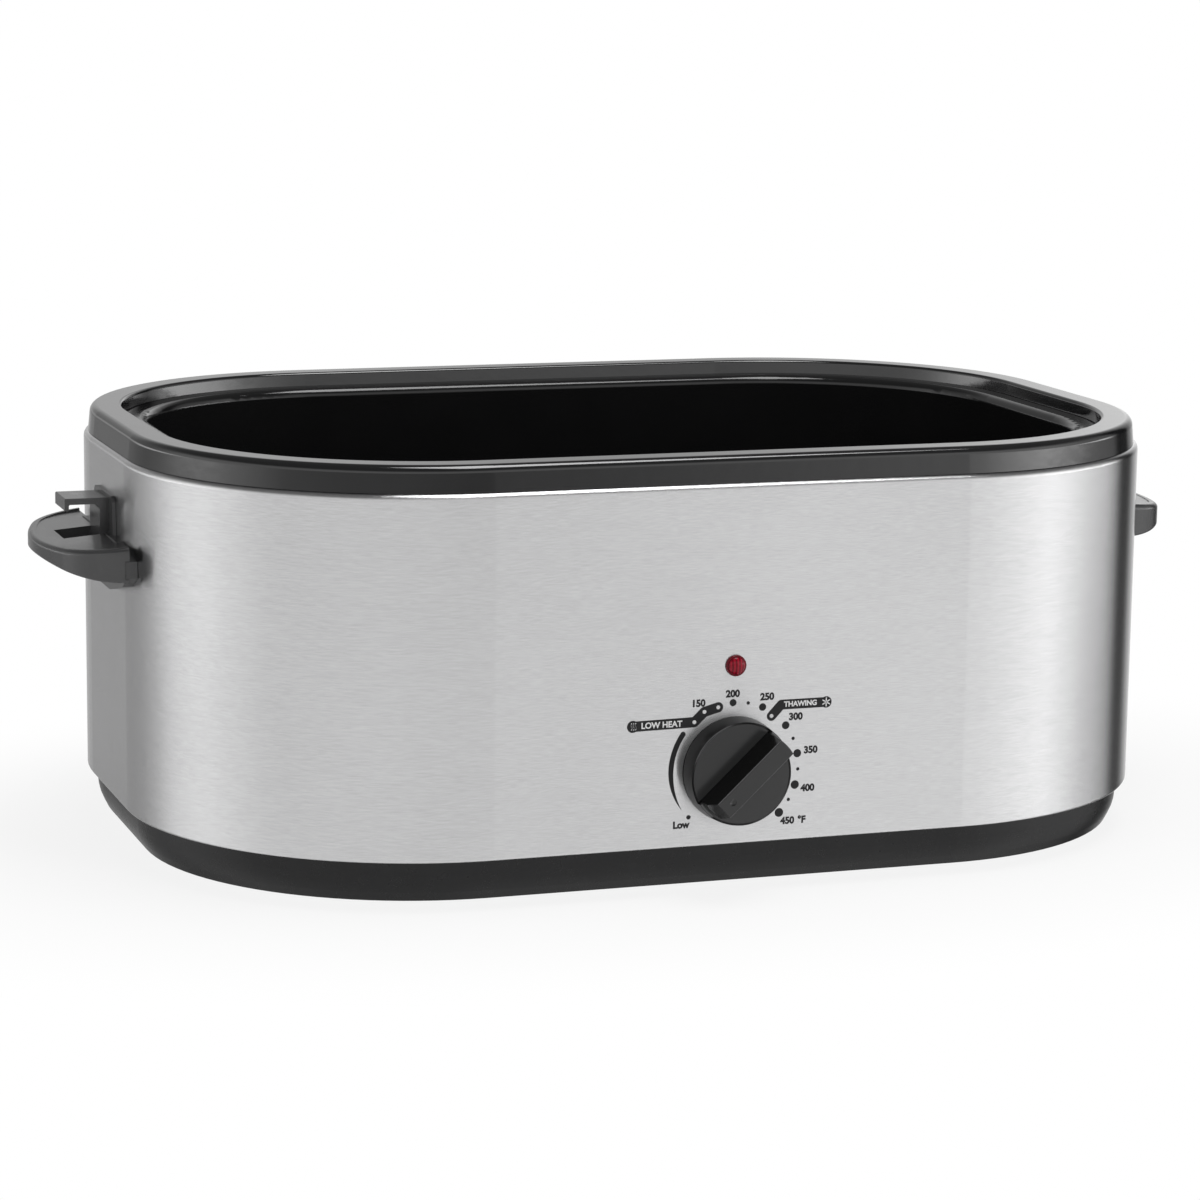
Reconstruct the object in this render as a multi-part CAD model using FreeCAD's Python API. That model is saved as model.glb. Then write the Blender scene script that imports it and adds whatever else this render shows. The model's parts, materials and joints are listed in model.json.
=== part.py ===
import FreeCAD, Part
import math
import os

# Electric roaster oven, millimetres.
# +X runs to the right along the front, +Y runs to the back, +Z is up.
# The origin lies on the table, under the middle of the oven's bounding box. Every
# piece is drawn about the middle of the steel shell, and moves back by the frame's
# shift when it is written, because the knob stands out further than the gland.

# ---------------------------------------------------------------- body plan
half_length = 262.5          # steel shell, centre to the outer face of an end
half_depth = 185.5           # steel shell, centre to the outer face of the front
corner_radius = 143.5        # steel shell, plan radius of its four corners

# ---------------------------------------------------------------- heights
foot_height = 4.0            # table to the base's lower edge
base_height = 20.3           # base's lower edge to the shell's lower edge
shell_height = 173.7         # shell's lower edge to its top shelf
rim_height = 13.0            # shell's top shelf to the rim's flat top
rim_step = 8.3               # rim's flat top down to the ledge for the pan

# ---------------------------------------------------------------- clearances
face_gap = 0.1               # between flat faces that are clamped together
body_gap = 0.3               # between pieces that only sit beside each other
lift_gap = 0.3               # under the pan's flange, so that it lifts freely
running_gap = 0.05           # shaft in its bearing, on the radius
screw_gap = 0.2              # screw in a clearance hole, on the radius
thread_gap = 0.05            # screw in its own thread, on the radius
past = 1.0                   # how far a cut runs past the face that it opens
hair = 0.01                  # tells one length from another
inner_bend = 0.2             # least inner radius of a bend, as a share of its outer one

# ---------------------------------------------------------------- outer shell
shell_wall = 0.8
shoulder_radius = 3.0        # rounding between the wall and the top shelf
shelf_width = 12.0           # top shelf, from the shell's outer face
hem_width = 8.0              # lower edge turned in, from the shell's outer face
hem_radius = 1.2

# ---------------------------------------------------------------- cooking well
well_wall = 1.0
rim_inset = 2.2              # rim's outer wall at its lower edge
rim_draft = 1.2              # how much the rim's outer wall leans in
rim_round = 4.0              # rounding along the rim's outer top edge
rim_flat_inset = 19.2        # rim's flat top ends here and steps down
rim_step_draft = 1.0         # how much the step leans in
rim_step_round = 1.8
ledge_round = 1.0
well_inset = 30.2            # inner face of the well's wall
well_mouth_round = 3.0
well_depth = 157.7           # ledge to the well's floor
well_corner = 22.0           # rounding between the well's wall and floor

# ---------------------------------------------------------------- roasting pan
pan_wall = 1.0
pan_edge_gap = 1.0           # flange's edge to the step beside it
pan_inset = 33.0             # inner face of the pan's wall
pan_mouth_round = 4.5
pan_depth = 152.0            # flange's top to the pan's floor
pan_corner = 20.0

# ---------------------------------------------------------------- base skirt
base_inset = 5.0             # skirt's outer face at its top edge
base_draft = 0.3
base_wall = 2.5
base_turn_height = 8.5       # here the skirt turns in towards its lower edge
base_turn_round = 20.0
base_foot_inset = 9.6        # skirt's outer face at its lower edge
base_foot_round = 1.0
base_edge_round = 0.6        # every other edge of the skirt
base_lip = 12.4              # lower edge's width, from the shell's outer face
base_flange = 24.0           # inner edge of the flange that the plate meets
base_recess = 2.3            # how far the flange lies above the lower edge
rib_height = 5.7             # locating rib above the shell's lower edge
rib_width = 2.2

# ---------------------------------------------------------------- bottom plate
plate_thickness = 0.8
plate_edge_gap = 0.6
plate_screw_inset = 18.0
plate_screw_angle = 38.0     # place of the corner screws round the corners
small_screw_radius = 1.5
small_head_radius = 3.2
small_head_height = 1.6
vent_width = 3.5
vent_length = 36.0
vent_pitch = 10.0
vent_count = 9
vent_row_x = 60.0            # middle of each row of vents, from the centre
foot_from_end = 92.5         # shell's end face to the foot's axis
foot_from_side = 80.5        # shell's front or rear face to the foot's axis
foot_radius = 9.0
foot_taper = 1.0
foot_stem_radius = 3.0
foot_stem_head = 4.2
foot_stem_height = 3.0

# ---------------------------------------------------------------- tie studs
stud_x = 120.0
stud_y = 78.0
stud_radius = 2.0
stud_below_plate = 4.0
nut_across_flats = 7.0
nut_height = 2.8
spacer_radius = 5.0
shield_height = 22.6         # base's lower edge to the shield's upper face
shield_thickness = 0.6
shield_inset = 34.0
shield_rim = 12.0
shield_bend = 3.0
floor_blanket_inset = 56.0

# ---------------------------------------------------------------- heater band
band_thickness = 2.0
band_height = 34.0
band_above_corner = 3.0      # above the end of the well's lower rounding
band_split = 8.0             # gap between the band's ends at the back
clamp_tab_length = 12.0
clamp_tab_thickness = 1.5
clamp_tab_height = 24.0
clamp_screw_radius = 2.0
heater_post_x = 40.0
heater_post_pitch = 20.0
heater_post_radius = 2.0
heater_post_length = 10.0
heater_bead_radius = 4.5
heater_bead_length = 5.0

# ---------------------------------------------------------------- wall blanket
blanket_thickness = 12.0
blanket_above_band = 14.0
blanket_top_gap = 2.0        # under the shell's shelf
blanket_notch = 9.0          # cut-out round the lamp and its wires, from their axis

# ---------------------------------------------------------------- front panel
knob_height = 60.9           # knob's axis above the table
lamp_height = 111.2          # lamp's axis above the table

knob_radius = 25.7
knob_draft = 0.8
knob_skirt = 11.5            # knob's back edge to its rim
knob_rise = 26.0             # knob's back edge to the top of its bar
knob_bar_width = 9.5
knob_bar_far = 23.2          # bar's rounded end, from the axis
knob_bar_near = 19.6         # bar's top at the pointer end, from the axis
knob_dish = 3.4              # how much the faces fall towards the bar
knob_hollow = 5.0            # depth of the hollow in the back
knob_hollow_wall = 2.2
knob_hub_radius = 6.5
knob_gap = 0.6               # shell to the knob's back edge
knob_dimple_at = 13.9
knob_dimple_radius = 1.7
knob_dimple_depth = 0.4
knob_edge_round = 0.6
knob_rest_angle = 227.0      # pointer at rest, clockwise from the top

shaft_radius = 3.0
shaft_into_knob = 14.0
shaft_into_body = 6.0
shaft_flat = 1.4             # depth of the flat on the shaft
shaft_flat_length = 9.0
clip_gap = 0.1

thermostat_width = 28.0
thermostat_height = 36.0
thermostat_depth = 18.0
thermostat_round = 2.0
bracket_width = 52.0
bracket_height = 38.0
bracket_thickness = 1.2
bracket_screw_x = 17.5
bracket_screw_length = 6.0
bracket_screw_head = 3.0
shaft_hole_radius = 5.0      # hole in the shell round the shaft
blade_width = 4.8
blade_thickness = 0.8
blade_length = 8.0
blade_places = (-10.5, -3.5, 3.5, 10.5)
blade_depth = 12.0           # blades behind the shell's outer face

bulb_radius = 2.25
bulb_length = 70.0
bulb_start_x = 24.0
bulb_above_band = 6.0
bulb_clip_width = 16.0
bulb_clip_wall = 1.0
capillary_radius = 0.8
capillary_x = 12.0
capillary_above_axis = 12.0
capillary_bend = 6.0

lens_radius = 5.1
lens_dome = 2.2
lens_flange = 0.8
lens_stem_radius = 3.6
lens_stem_length = 14.0
lens_bore_radius = 2.8
retainer_radius = 6.5
retainer_thickness = 0.8
neon_radius = 2.4
neon_length = 11.0

# ---------------------------------------------------------------- side handles
handle_reach = 37.2          # shell's end face to the grip's outer edge
handle_half_width = 63.5     # half the grip's width where it meets the shell
handle_side_radius = 32.0    # plan radius at the grip's two ends
handle_nose_top = 154.9      # top face above the table at the outer edge
handle_top_rise = 4.3        # how much higher the top face is beside the shell
handle_nose_low = 148.2      # underside above the table at the outer edge
handle_root_low = 141.5      # underside above the table beside the cheek
handle_top_round = 2.6
handle_low_round = 1.2
handle_lip = 4.4             # width of the raised lip round the top panel
handle_panel_depth = 1.2     # depth of the top panel beside the cheek
handle_slot_half = 13.0      # half the slot's width, along Y
handle_slot_outer = 24.0     # shell's end face to the slot's outer end
cheek_thickness = 4.0
cheek_low = 132.0            # cheek's lower edge above the table
cheek_low_half = 25.0
cheek_side_low = 138.6       # heights and half widths of the cheek's sides
cheek_side_low_half = 56.5
cheek_middle = 144.0
cheek_middle_half = 64.6
cheek_side_high = 152.0
cheek_side_high_half = 64.0
cheek_high = 158.2
cheek_high_half = 40.0
tongue_thickness = 1.8
tongue_half_low = 25.5
tongue_half_top = 21.5
tongue_top = 177.0
tongue_round = 4.0

hook_half_width = 12.2
hook_upright = 5.9           # shell's end face to the upright's outer face
hook_top = 175.4             # hook's top above the table
hook_reach = 23.2            # shell's end face to the hook's outer face
hook_arm = 3.1
hook_lip = 2.1
hook_lip_drop = 6.2
hook_inner_round = 2.6
hook_edge_round = 0.7

handle_screw_inset = 7.0     # end of the backing strip to the screw
handle_screw_radius = 2.0
handle_screw_head = 4.0
handle_screw_head_height = 2.4
handle_screw_depth = 14.0    # into the handle
strip_end_gap = 1.0          # flat of the shell's end beyond the strip
strip_half_height = 7.0
strip_thickness = 1.2

# ---------------------------------------------------------------- wiring
gland_height = 46.0
gland_radius = 9.0
gland_flange = 3.0
gland_neck_radius = 6.0
gland_snap_radius = 7.4
gland_tail = 6.0
gland_bore_radius = 3.7      # lip that holds the cord
gland_relief = 0.9           # how much wider the bore is inside the lip

block_from_rear = 63.5       # shell's rear face to the block's middle
block_length = 44.0
block_width = 20.0
block_height = 15.0
block_cell = 11.0            # pitch of the three cells
block_screw_radius = 1.7
wire_radius = 1.3
wire_level = 17.0            # wires above the table, under the shield
wire_bend = 6.0
wire_lead = 60.0             # straight lead at each end of a run under the shield
wire_swing = 14.0            # how far a wire swings out to turn
wire_drop = 8.0              # short rise or fall of a wire before it turns
short_bend = 3.0
lamp_wire_radius = 0.8
lamp_wire_bend = 2.5
lamp_wire_drop = 12.0
fuse_x = 90.0
fuse_sleeve_radius = 3.0
fuse_sleeve_length = 34.0
fuse_clip_width = 10.0
fuse_clip_wall = 1.0

# ---------------------------------------------------------------- worked out
base_bottom = foot_height
shell_bottom = base_bottom + base_height
shelf_z = shell_bottom + shell_height
rim_top = shelf_z + rim_height
ledge_z = rim_top - rim_step
flange_low = ledge_z + lift_gap
flange_top = flange_low + pan_wall
pan_floor = flange_top - pan_depth
well_floor = ledge_z - well_depth
well_under = well_floor - well_wall
well_back = well_inset - well_wall
plate_top = base_bottom + base_recess - face_gap
plate_low = plate_top - plate_thickness
shield_z = base_bottom + shield_height
band_low = well_floor + well_corner + band_above_corner
band_top = band_low + band_height
band_middle = band_low + band_height / 2
band_inner = well_back - face_gap
band_outer = band_inner - band_thickness
blanket_low = band_top + blanket_above_band
blanket_high = shelf_z - blanket_top_gap
bulb_z = band_top + bulb_above_band
bulb_inset = well_back - face_gap - bulb_radius
inside_face = shell_wall + face_gap
straight_x = half_length - corner_radius
straight_y = half_depth - corner_radius
foot_x = half_length - foot_from_end
foot_y = half_depth - foot_from_side
block_y = half_depth - block_from_rear
strip_half_length = straight_y - strip_end_gap
handle_screw_y = strip_half_length - handle_screw_inset
knob_stand_out = knob_gap + knob_rise
gland_stand_out = face_gap + gland_flange
frame_shift = (knob_stand_out - gland_stand_out) / 2
tall = rim_top * 2
STRAIGHT_UP = FreeCAD.Vector(0, 0, 1)
AWAY_FROM_FRONT = FreeCAD.Vector(0, 1, 0)


# ================================================================ small tools
def point(x, y, z):
    return FreeCAD.Vector(x, y, z)


def front(x, inset, z):
    """A point behind the front face, by its depth inside that face."""
    return point(x, -half_depth + inset, z)


def rear(x, inset, z):
    """A point inside the rear face, by its depth inside that face."""
    return point(x, half_depth - inset, z)


def box(x_low, x_high, y_low, y_high, z_low, z_high):
    return Part.makeBox(x_high - x_low, y_high - y_low, z_high - z_low, point(x_low, y_low, z_low))


def rod(start, end, radius):
    run = end - start
    return Part.makeCylinder(radius, run.Length, start, run)


def pipe(start, end, radius, bore):
    return rod(start, end, radius).cut(rod(start, end, bore))


def mirrored(shape):
    """The same shape on the other side of the YZ plane."""
    return shape.mirror(point(0, 0, 0), point(1, 0, 0))


def four_corners(x, y):
    return [(sx * x, sy * y) for sx in (-1, 1) for sy in (-1, 1)]


def fuse_all(shapes):
    first, rest = shapes[0], shapes[1:]
    return first.multiFuse(rest).removeSplitter()


def screw(seat, direction, shank_radius, shank_length, head_radius, head_height):
    """A pan-head screw. Its head sits on seat and its shank runs along direction."""
    axis = point(*direction)
    axis.normalize()
    shank = rod(seat - axis * (head_height / 2), seat + axis * shank_length, shank_radius)
    head = rod(seat - axis * head_height, seat, head_radius)
    slot = box(-head_radius, head_radius, -head_height / 6, head_height / 6, 0, head_height / 3)
    slot.Placement = FreeCAD.Placement(
        seat - axis * head_height, FreeCAD.Rotation(STRAIGHT_UP, axis)
    )
    return head.fuse(shank).cut(slot)


# ================================================================ outlines
def plan_face(inset, z):
    """The oven's rounded plan, shrunk by inset, as a flat face at height z."""
    x = half_length - inset
    y = half_depth - inset
    r = corner_radius - inset
    diagonal = r * math.sqrt(0.5)
    edges = []
    for turn in range(4):
        flip_x = 1 if turn in (0, 3) else -1
        flip_y = 1 if turn in (0, 1) else -1
        on_end = point(flip_x * x, flip_y * straight_y, z)
        on_side = point(flip_x * straight_x, flip_y * y, z)
        middle = point(flip_x * (straight_x + diagonal), flip_y * (straight_y + diagonal), z)
        first, last = (on_end, on_side) if turn in (0, 2) else (on_side, on_end)
        edges.append(Part.Arc(first, middle, last).toShape())
        following = (turn + 1) % 4
        next_x = 1 if following in (0, 3) else -1
        next_y = 1 if following in (0, 1) else -1
        if following in (0, 2):
            next_start = point(next_x * x, next_y * straight_y, z)
        else:
            next_start = point(next_x * straight_x, next_y * y, z)
        edges.append(Part.LineSegment(last, next_start).toShape())
    return Part.Face(Part.Wire(edges))


def plan_prism(inset, z_low, z_high):
    return plan_face(inset, z_low).extrude(point(0, 0, z_high - z_low))


def rounded_loop(corners, place):
    """A closed wire through (inset, height, rounding) corners."""
    count = len(corners)
    starts, ends, middles = [], [], []
    for index in range(count):
        u, z, radius = corners[index]
        back_u, back_z, _ = corners[index - 1]
        next_u, next_z, _ = corners[(index + 1) % count]
        back = FreeCAD.Vector(back_u - u, back_z - z, 0)
        ahead = FreeCAD.Vector(next_u - u, next_z - z, 0)
        back.normalize()
        ahead.normalize()
        here = FreeCAD.Vector(u, z, 0)
        half_angle = back.getAngle(ahead) / 2
        if radius <= 0:
            starts.append(here)
            ends.append(here)
            middles.append(None)
            continue
        reach = radius / math.tan(half_angle)
        bisector = back + ahead
        bisector.normalize()
        starts.append(here + back * reach)
        ends.append(here + ahead * reach)
        middles.append(here + bisector * (radius / math.sin(half_angle) - radius))
    edges = []
    for index in range(count):
        following = (index + 1) % count
        if middles[index] is not None:
            arc = (starts[index], middles[index], ends[index])
            edges.append(Part.Arc(*[place(p.x, p.y) for p in arc]).toShape())
        if (starts[following] - ends[index]).Length > 1e-6:
            line = (ends[index], starts[following])
            edges.append(Part.LineSegment(*[place(p.x, p.y) for p in line]).toShape())
    return Part.Wire(edges)


def sheet(path, thickness):
    """The closed section of bent sheet. path runs along its visible face."""
    count = len(path)
    normals, directions = [], []
    for index in range(count - 1):
        run_u = path[index + 1][0] - path[index][0]
        run_z = path[index + 1][1] - path[index][1]
        length = math.hypot(run_u, run_z)
        directions.append((run_u / length, run_z / length))
        normals.append((run_z / length, -run_u / length))
    hidden = []
    for index in range(count):
        u, z, radius = path[index]
        before = normals[max(index - 1, 0)]
        after = normals[min(index, count - 2)]
        spread = 1 + before[0] * after[0] + before[1] * after[1]
        new_u = u + (before[0] + after[0]) * thickness / spread
        new_z = z + (before[1] + after[1]) * thickness / spread
        new_radius = 0
        if radius > 0:
            into = directions[index - 1]
            out = directions[index]
            turn = into[0] * out[1] - into[1] * out[0]
            new_radius = radius + thickness if turn > 0 else max(radius - thickness, radius * inner_bend)
        hidden.append((new_u, new_z, new_radius))
    return list(path) + hidden[::-1]


def band(corners):
    """A ring of constant section that follows the oven's plan."""

    def along_front(x):
        return lambda u, z: point(x, -half_depth + u, z)

    def along_end(y):
        return lambda u, z: point(half_length - u, y, z)

    def section(place):
        return Part.Face(rounded_loop(corners, place))

    quarter = [
        section(along_front(-straight_x)).extrude(point(2 * straight_x, 0, 0)),
        section(along_front(straight_x)).revolve(
            point(straight_x, -straight_y, 0), STRAIGHT_UP, 90
        ),
        section(along_end(-straight_y)).extrude(point(0, 2 * straight_y, 0)),
        section(along_end(straight_y)).revolve(point(straight_x, straight_y, 0), STRAIGHT_UP, 90),
    ]
    opposite = []
    for piece in quarter:
        turned = piece.copy()
        turned.rotate(point(0, 0, 0), STRAIGHT_UP, 180)
        opposite.append(turned)
    return quarter + opposite


def ring(corners):
    return fuse_all(band(corners))


def dish(path, thickness):
    """A ring of bent sheet whose floor closes across the middle."""
    floor = path[-1][1]
    core = box(-straight_x, straight_x, -straight_y, straight_y, floor - thickness, floor)
    return fuse_all(band(sheet(path, thickness)) + [core])


def bent_tube(points, radius, bend):
    """A tube along straight runs that are joined by tangent arcs."""
    edges = []
    here = points[0]
    for index in range(1, len(points) - 1):
        corner = points[index]
        back = points[index - 1] - corner
        ahead = points[index + 1] - corner
        back.normalize()
        ahead.normalize()
        half_angle = back.getAngle(ahead) / 2
        reach = bend / math.tan(half_angle)
        bisector = back + ahead
        bisector.normalize()
        middle = corner + bisector * (bend / math.sin(half_angle) - bend)
        edges.append(Part.LineSegment(here, corner + back * reach).toShape())
        edges.append(Part.Arc(corner + back * reach, middle, corner + ahead * reach).toShape())
        here = corner + ahead * reach
    edges.append(Part.LineSegment(here, points[-1]).toShape())
    spine = Part.Wire(edges)
    section = Part.Wire(Part.makeCircle(radius, points[0], points[1] - points[0]))
    return spine.makePipeShell([section], True, False)


# ================================================================ shell and pans
def plate_screw_places():
    """Screws on the two long sides and round the four corners."""
    places = [(0, half_depth - plate_screw_inset), (0, plate_screw_inset - half_depth)]
    reach = corner_radius - plate_screw_inset
    angle = math.radians(plate_screw_angle)
    x = straight_x + reach * math.cos(angle)
    y = straight_y + reach * math.sin(angle)
    return places + four_corners(x, y)


def handle_middle():
    """Height of the middle of the grip beside the shell."""
    return (handle_nose_top + handle_top_rise + handle_root_low) / 2


def handle_screw_places():
    """(y, z) of the two screws of one handle."""
    return [(side * handle_screw_y, handle_middle()) for side in (-1, 1)]


def end_hole(y, z, radius):
    """A hole along X through one end wall of the shell."""
    start = point(-half_length - past, y, z)
    return rod(start, start + point(past + hem_width + shell_wall, 0, 0), radius)


def outer_shell():
    path = [
        (hem_width, shell_bottom, 0),
        (0, shell_bottom, hem_radius),
        (0, shelf_z, shoulder_radius),
        (shelf_width, shelf_z, 0),
    ]
    shape = ring(sheet(path, shell_wall))
    deep = 2 * hem_width
    holes = [
        rod(front(0, -past, knob_height), front(0, deep, knob_height), shaft_hole_radius),
        rod(front(0, -past, lamp_height), front(0, deep, lamp_height), lens_stem_radius + screw_gap),
        rod(rear(0, -past, gland_height), rear(0, deep, gland_height), gland_neck_radius + screw_gap),
    ]
    for side in (-1, 1):
        x = side * bracket_screw_x
        hole_radius = small_screw_radius + screw_gap
        holes.append(rod(front(x, -past, knob_height), front(x, deep, knob_height), hole_radius))
    for y, z in handle_screw_places():
        hole = end_hole(y, z, handle_screw_radius + screw_gap)
        holes += [hole, mirrored(hole)]
    return shape.cut(Part.makeCompound(holes))


def cooking_well():
    path = [
        (rim_inset, shelf_z + face_gap, 0),
        (rim_inset + rim_draft, rim_top, rim_round),
        (rim_flat_inset, rim_top, rim_step_round),
        (rim_flat_inset + rim_step_draft, ledge_z, ledge_round),
        (well_inset, ledge_z, well_mouth_round),
        (well_inset, well_floor, well_corner),
        (corner_radius, well_floor, 0),
    ]
    return dish(path, well_wall)


def roasting_pan():
    flange_edge = rim_flat_inset + rim_step_draft + pan_edge_gap
    path = [
        (flange_edge, flange_top, 0),
        (pan_inset, flange_top, pan_mouth_round),
        (pan_inset, pan_floor, pan_corner),
        (corner_radius, pan_floor, 0),
    ]
    return dish(path, pan_wall)


def base_skirt():
    flange_under = base_bottom + base_recess
    flange_upper = flange_under + base_wall
    outer = base_inset + base_draft
    inner = outer + base_wall
    turn = base_bottom + base_turn_height
    rib_outer = hem_width + body_gap
    rib_inner = rib_outer + rib_width
    rib_top = shell_bottom + rib_height
    shoulder = shell_bottom - face_gap
    corners = [
        (base_inset, shoulder, base_edge_round),
        (outer, turn, base_turn_round),
        (base_foot_inset, base_bottom, base_foot_round),
        (base_lip, base_bottom, base_edge_round),
        (base_lip, flange_under, 0),
        (base_flange, flange_under, 0),
        (base_flange, flange_upper, base_edge_round),
        (base_lip, flange_upper, 0),
        (inner, turn + base_edge_round, 0),
        (inner, shoulder - 2 * base_wall, 0),
        (rib_inner, shoulder - base_wall, 0),
        (rib_inner, rib_top, base_edge_round),
        (rib_outer, rib_top, base_edge_round),
        (rib_outer, shoulder, 0),
    ]
    shape = ring(corners)
    low, high = flange_under - past, flange_upper + past
    holes = []
    for x, y in plate_screw_places():
        hole_radius = small_screw_radius + thread_gap
        holes.append(rod(point(x, y, low), point(x, y, high), hole_radius))
    return shape.cut(Part.makeCompound(holes))


def vent(x, y):
    """One slot with round ends, long side along Y."""
    low, high = plate_low - past, plate_top + past
    half = vent_length / 2 - vent_width / 2
    middle = box(x - vent_width / 2, x + vent_width / 2, y - half, y + half, low, high)
    ends = [rod(point(x, y + s * half, low), point(x, y + s * half, high), vent_width / 2)
            for s in (-1, 1)]
    return fuse_all([middle] + ends)


def bottom_plate():
    shape = plan_prism(base_lip + plate_edge_gap, plate_low, plate_top)
    low, high = plate_low - past, plate_top + past
    cuts = []
    for x, y in plate_screw_places():
        cuts.append(rod(point(x, y, low), point(x, y, high), small_screw_radius + screw_gap))
    for x, y in four_corners(stud_x, stud_y):
        cuts.append(rod(point(x, y, low), point(x, y, high), stud_radius + screw_gap))
    for x, y in four_corners(foot_x, foot_y):
        cuts.append(rod(point(x, y, low), point(x, y, high), foot_stem_radius + screw_gap))
    cuts.append(rod(point(0, block_y, low), point(0, block_y, high), block_screw_radius + screw_gap))
    for side in (-1, 1):
        for index in range(vent_count):
            offset = (index - (vent_count - 1) / 2) * vent_pitch
            cuts.append(vent(side * vent_row_x + offset, 0))
    return shape.cut(Part.makeCompound(cuts))


def bottom_plate_screws():
    length = plate_thickness + base_wall + face_gap
    parts = []
    for x, y in plate_screw_places():
        seat = point(x, y, plate_low - face_gap)
        parts.append(screw(seat, (0, 0, 1), small_screw_radius, length + face_gap,
                           small_head_radius, small_head_height))
    return Part.makeCompound(parts)


def foot(x, y):
    """A rubber foot that is pushed through the bottom plate."""
    pad_top = plate_low - face_gap
    pad = Part.makeCone(foot_radius - foot_taper, foot_radius, pad_top, point(x, y, 0))
    stem_top = plate_top + foot_stem_height
    stem = rod(point(x, y, pad_top - past), point(x, y, stem_top), foot_stem_radius)
    bulge = Part.makeCone(foot_stem_head, foot_stem_radius, foot_stem_height - face_gap,
                          point(x, y, plate_top + face_gap))
    return fuse_all([pad, stem, bulge])


# ================================================================ inside
def well_studs():
    parts = []
    for x, y in four_corners(stud_x, stud_y):
        low = plate_low - stud_below_plate
        parts.append(rod(point(x, y, low), point(x, y, well_under), stud_radius))
    return Part.makeCompound(parts)


def hexagon(x, y, z_low, height, across_flats):
    radius = across_flats / math.sqrt(3)
    ring_points = []
    for index in range(7):
        angle = math.radians(60 * index)
        ring_points.append(point(x + radius * math.cos(angle), y + radius * math.sin(angle), z_low))
    return Part.Face(Part.makePolygon(ring_points)).extrude(point(0, 0, height))


def stud_nuts():
    parts = []
    for x, y in four_corners(stud_x, stud_y):
        low = plate_low - face_gap - nut_height
        nut = hexagon(x, y, low, nut_height, nut_across_flats)
        bore = rod(point(x, y, low - past), point(x, y, low + nut_height + past),
                   stud_radius + thread_gap)
        parts.append(nut.cut(bore))
    return Part.makeCompound(parts)


def spacers(z_low, z_high):
    parts = []
    for x, y in four_corners(stud_x, stud_y):
        parts.append(pipe(point(x, y, z_low), point(x, y, z_high), spacer_radius,
                          stud_radius + screw_gap))
    return Part.makeCompound(parts)


def lower_spacers():
    return spacers(plate_top + face_gap, shield_z - shield_thickness - face_gap)


def upper_spacers():
    return spacers(shield_z + face_gap, well_under - face_gap)


def heat_shield():
    path = [
        (shield_inset, shield_z + shield_rim, 0),
        (shield_inset, shield_z, shield_bend),
        (corner_radius, shield_z, 0),
    ]
    shape = dish(path, shield_thickness)
    low, high = shield_z - shield_bend, shield_z + shield_bend
    holes = [rod(point(x, y, low), point(x, y, high), stud_radius + screw_gap)
             for x, y in four_corners(stud_x, stud_y)]
    return shape.cut(Part.makeCompound(holes))


def floor_blanket():
    low, high = shield_z + face_gap, well_under - body_gap
    shape = plan_prism(floor_blanket_inset, low, high)
    holes = [rod(point(x, y, low - past), point(x, y, high + past), spacer_radius + body_gap)
             for x, y in four_corners(stud_x, stud_y)]
    return shape.cut(Part.makeCompound(holes))


def wall_blanket():
    inner = well_back - body_gap
    outer = inner - blanket_thickness
    shape = plan_prism(outer, blanket_low, blanket_high).cut(
        plan_prism(inner, blanket_low - past, blanket_high + past))
    notch = box(-blanket_notch, blanket_notch, outer - past - half_depth, inner + past - half_depth,
                knob_height, lamp_height + blanket_notch)
    return shape.cut(notch)


def clamp_tab(side):
    """One end of the heater band, bent out beside the split at the back."""
    near = side * band_split / 2
    far = near + side * clamp_tab_thickness
    low, high = band_middle - clamp_tab_height / 2, band_middle + clamp_tab_height / 2
    y_far = half_depth - band_inner
    y_near = half_depth - band_outer + clamp_tab_length
    tab = box(min(near, far), max(near, far), y_far, y_near, low, high)
    hole_y = half_depth - band_outer + clamp_tab_length / 2
    hole = rod(point(near - side, hole_y, band_middle), point(far + side, hole_y, band_middle),
               clamp_screw_radius + screw_gap)
    return tab.cut(hole)


def heater_band():
    shape = plan_prism(band_outer, band_low, band_top)
    low, high = band_low - past, band_top + past
    shape = shape.cut(plan_prism(band_inner, low, high))
    split = box(-band_split / 2, band_split / 2, half_depth - band_inner - past, half_depth,
                low, high)
    return fuse_all([shape.cut(split), clamp_tab(-1), clamp_tab(1)])


def band_clamp():
    """Screw and nut that pull the two ends of the heater band together."""
    y = half_depth - band_outer + clamp_tab_length / 2
    outside = band_split / 2 + clamp_tab_thickness + face_gap
    grip = 2 * outside + nut_height + past
    bolt = screw(point(-outside, y, band_middle), (1, 0, 0), clamp_screw_radius, grip,
                 small_head_radius, small_head_height)
    nut = hexagon(0, 0, 0, nut_height, nut_across_flats)
    bore = rod(point(0, 0, -past), point(0, 0, nut_height + past), clamp_screw_radius + thread_gap)
    nut = nut.cut(bore)
    nut.Placement = FreeCAD.Placement(point(outside, y, band_middle),
                                      FreeCAD.Rotation(STRAIGHT_UP, point(1, 0, 0)))
    return Part.makeCompound([bolt, nut])


def heater_post_places():
    return [heater_post_x, heater_post_x + heater_post_pitch]


def heater_posts():
    seat = band_outer - face_gap
    return Part.makeCompound([
        rod(rear(x, seat, band_middle), rear(x, seat - heater_post_length, band_middle),
            heater_post_radius)
        for x in heater_post_places()])


def heater_beads():
    seat = band_outer - face_gap
    return Part.makeCompound([
        pipe(rear(x, seat, band_middle), rear(x, seat - heater_bead_length, band_middle),
             heater_bead_radius, heater_post_radius + face_gap)
        for x in heater_post_places()])


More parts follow.
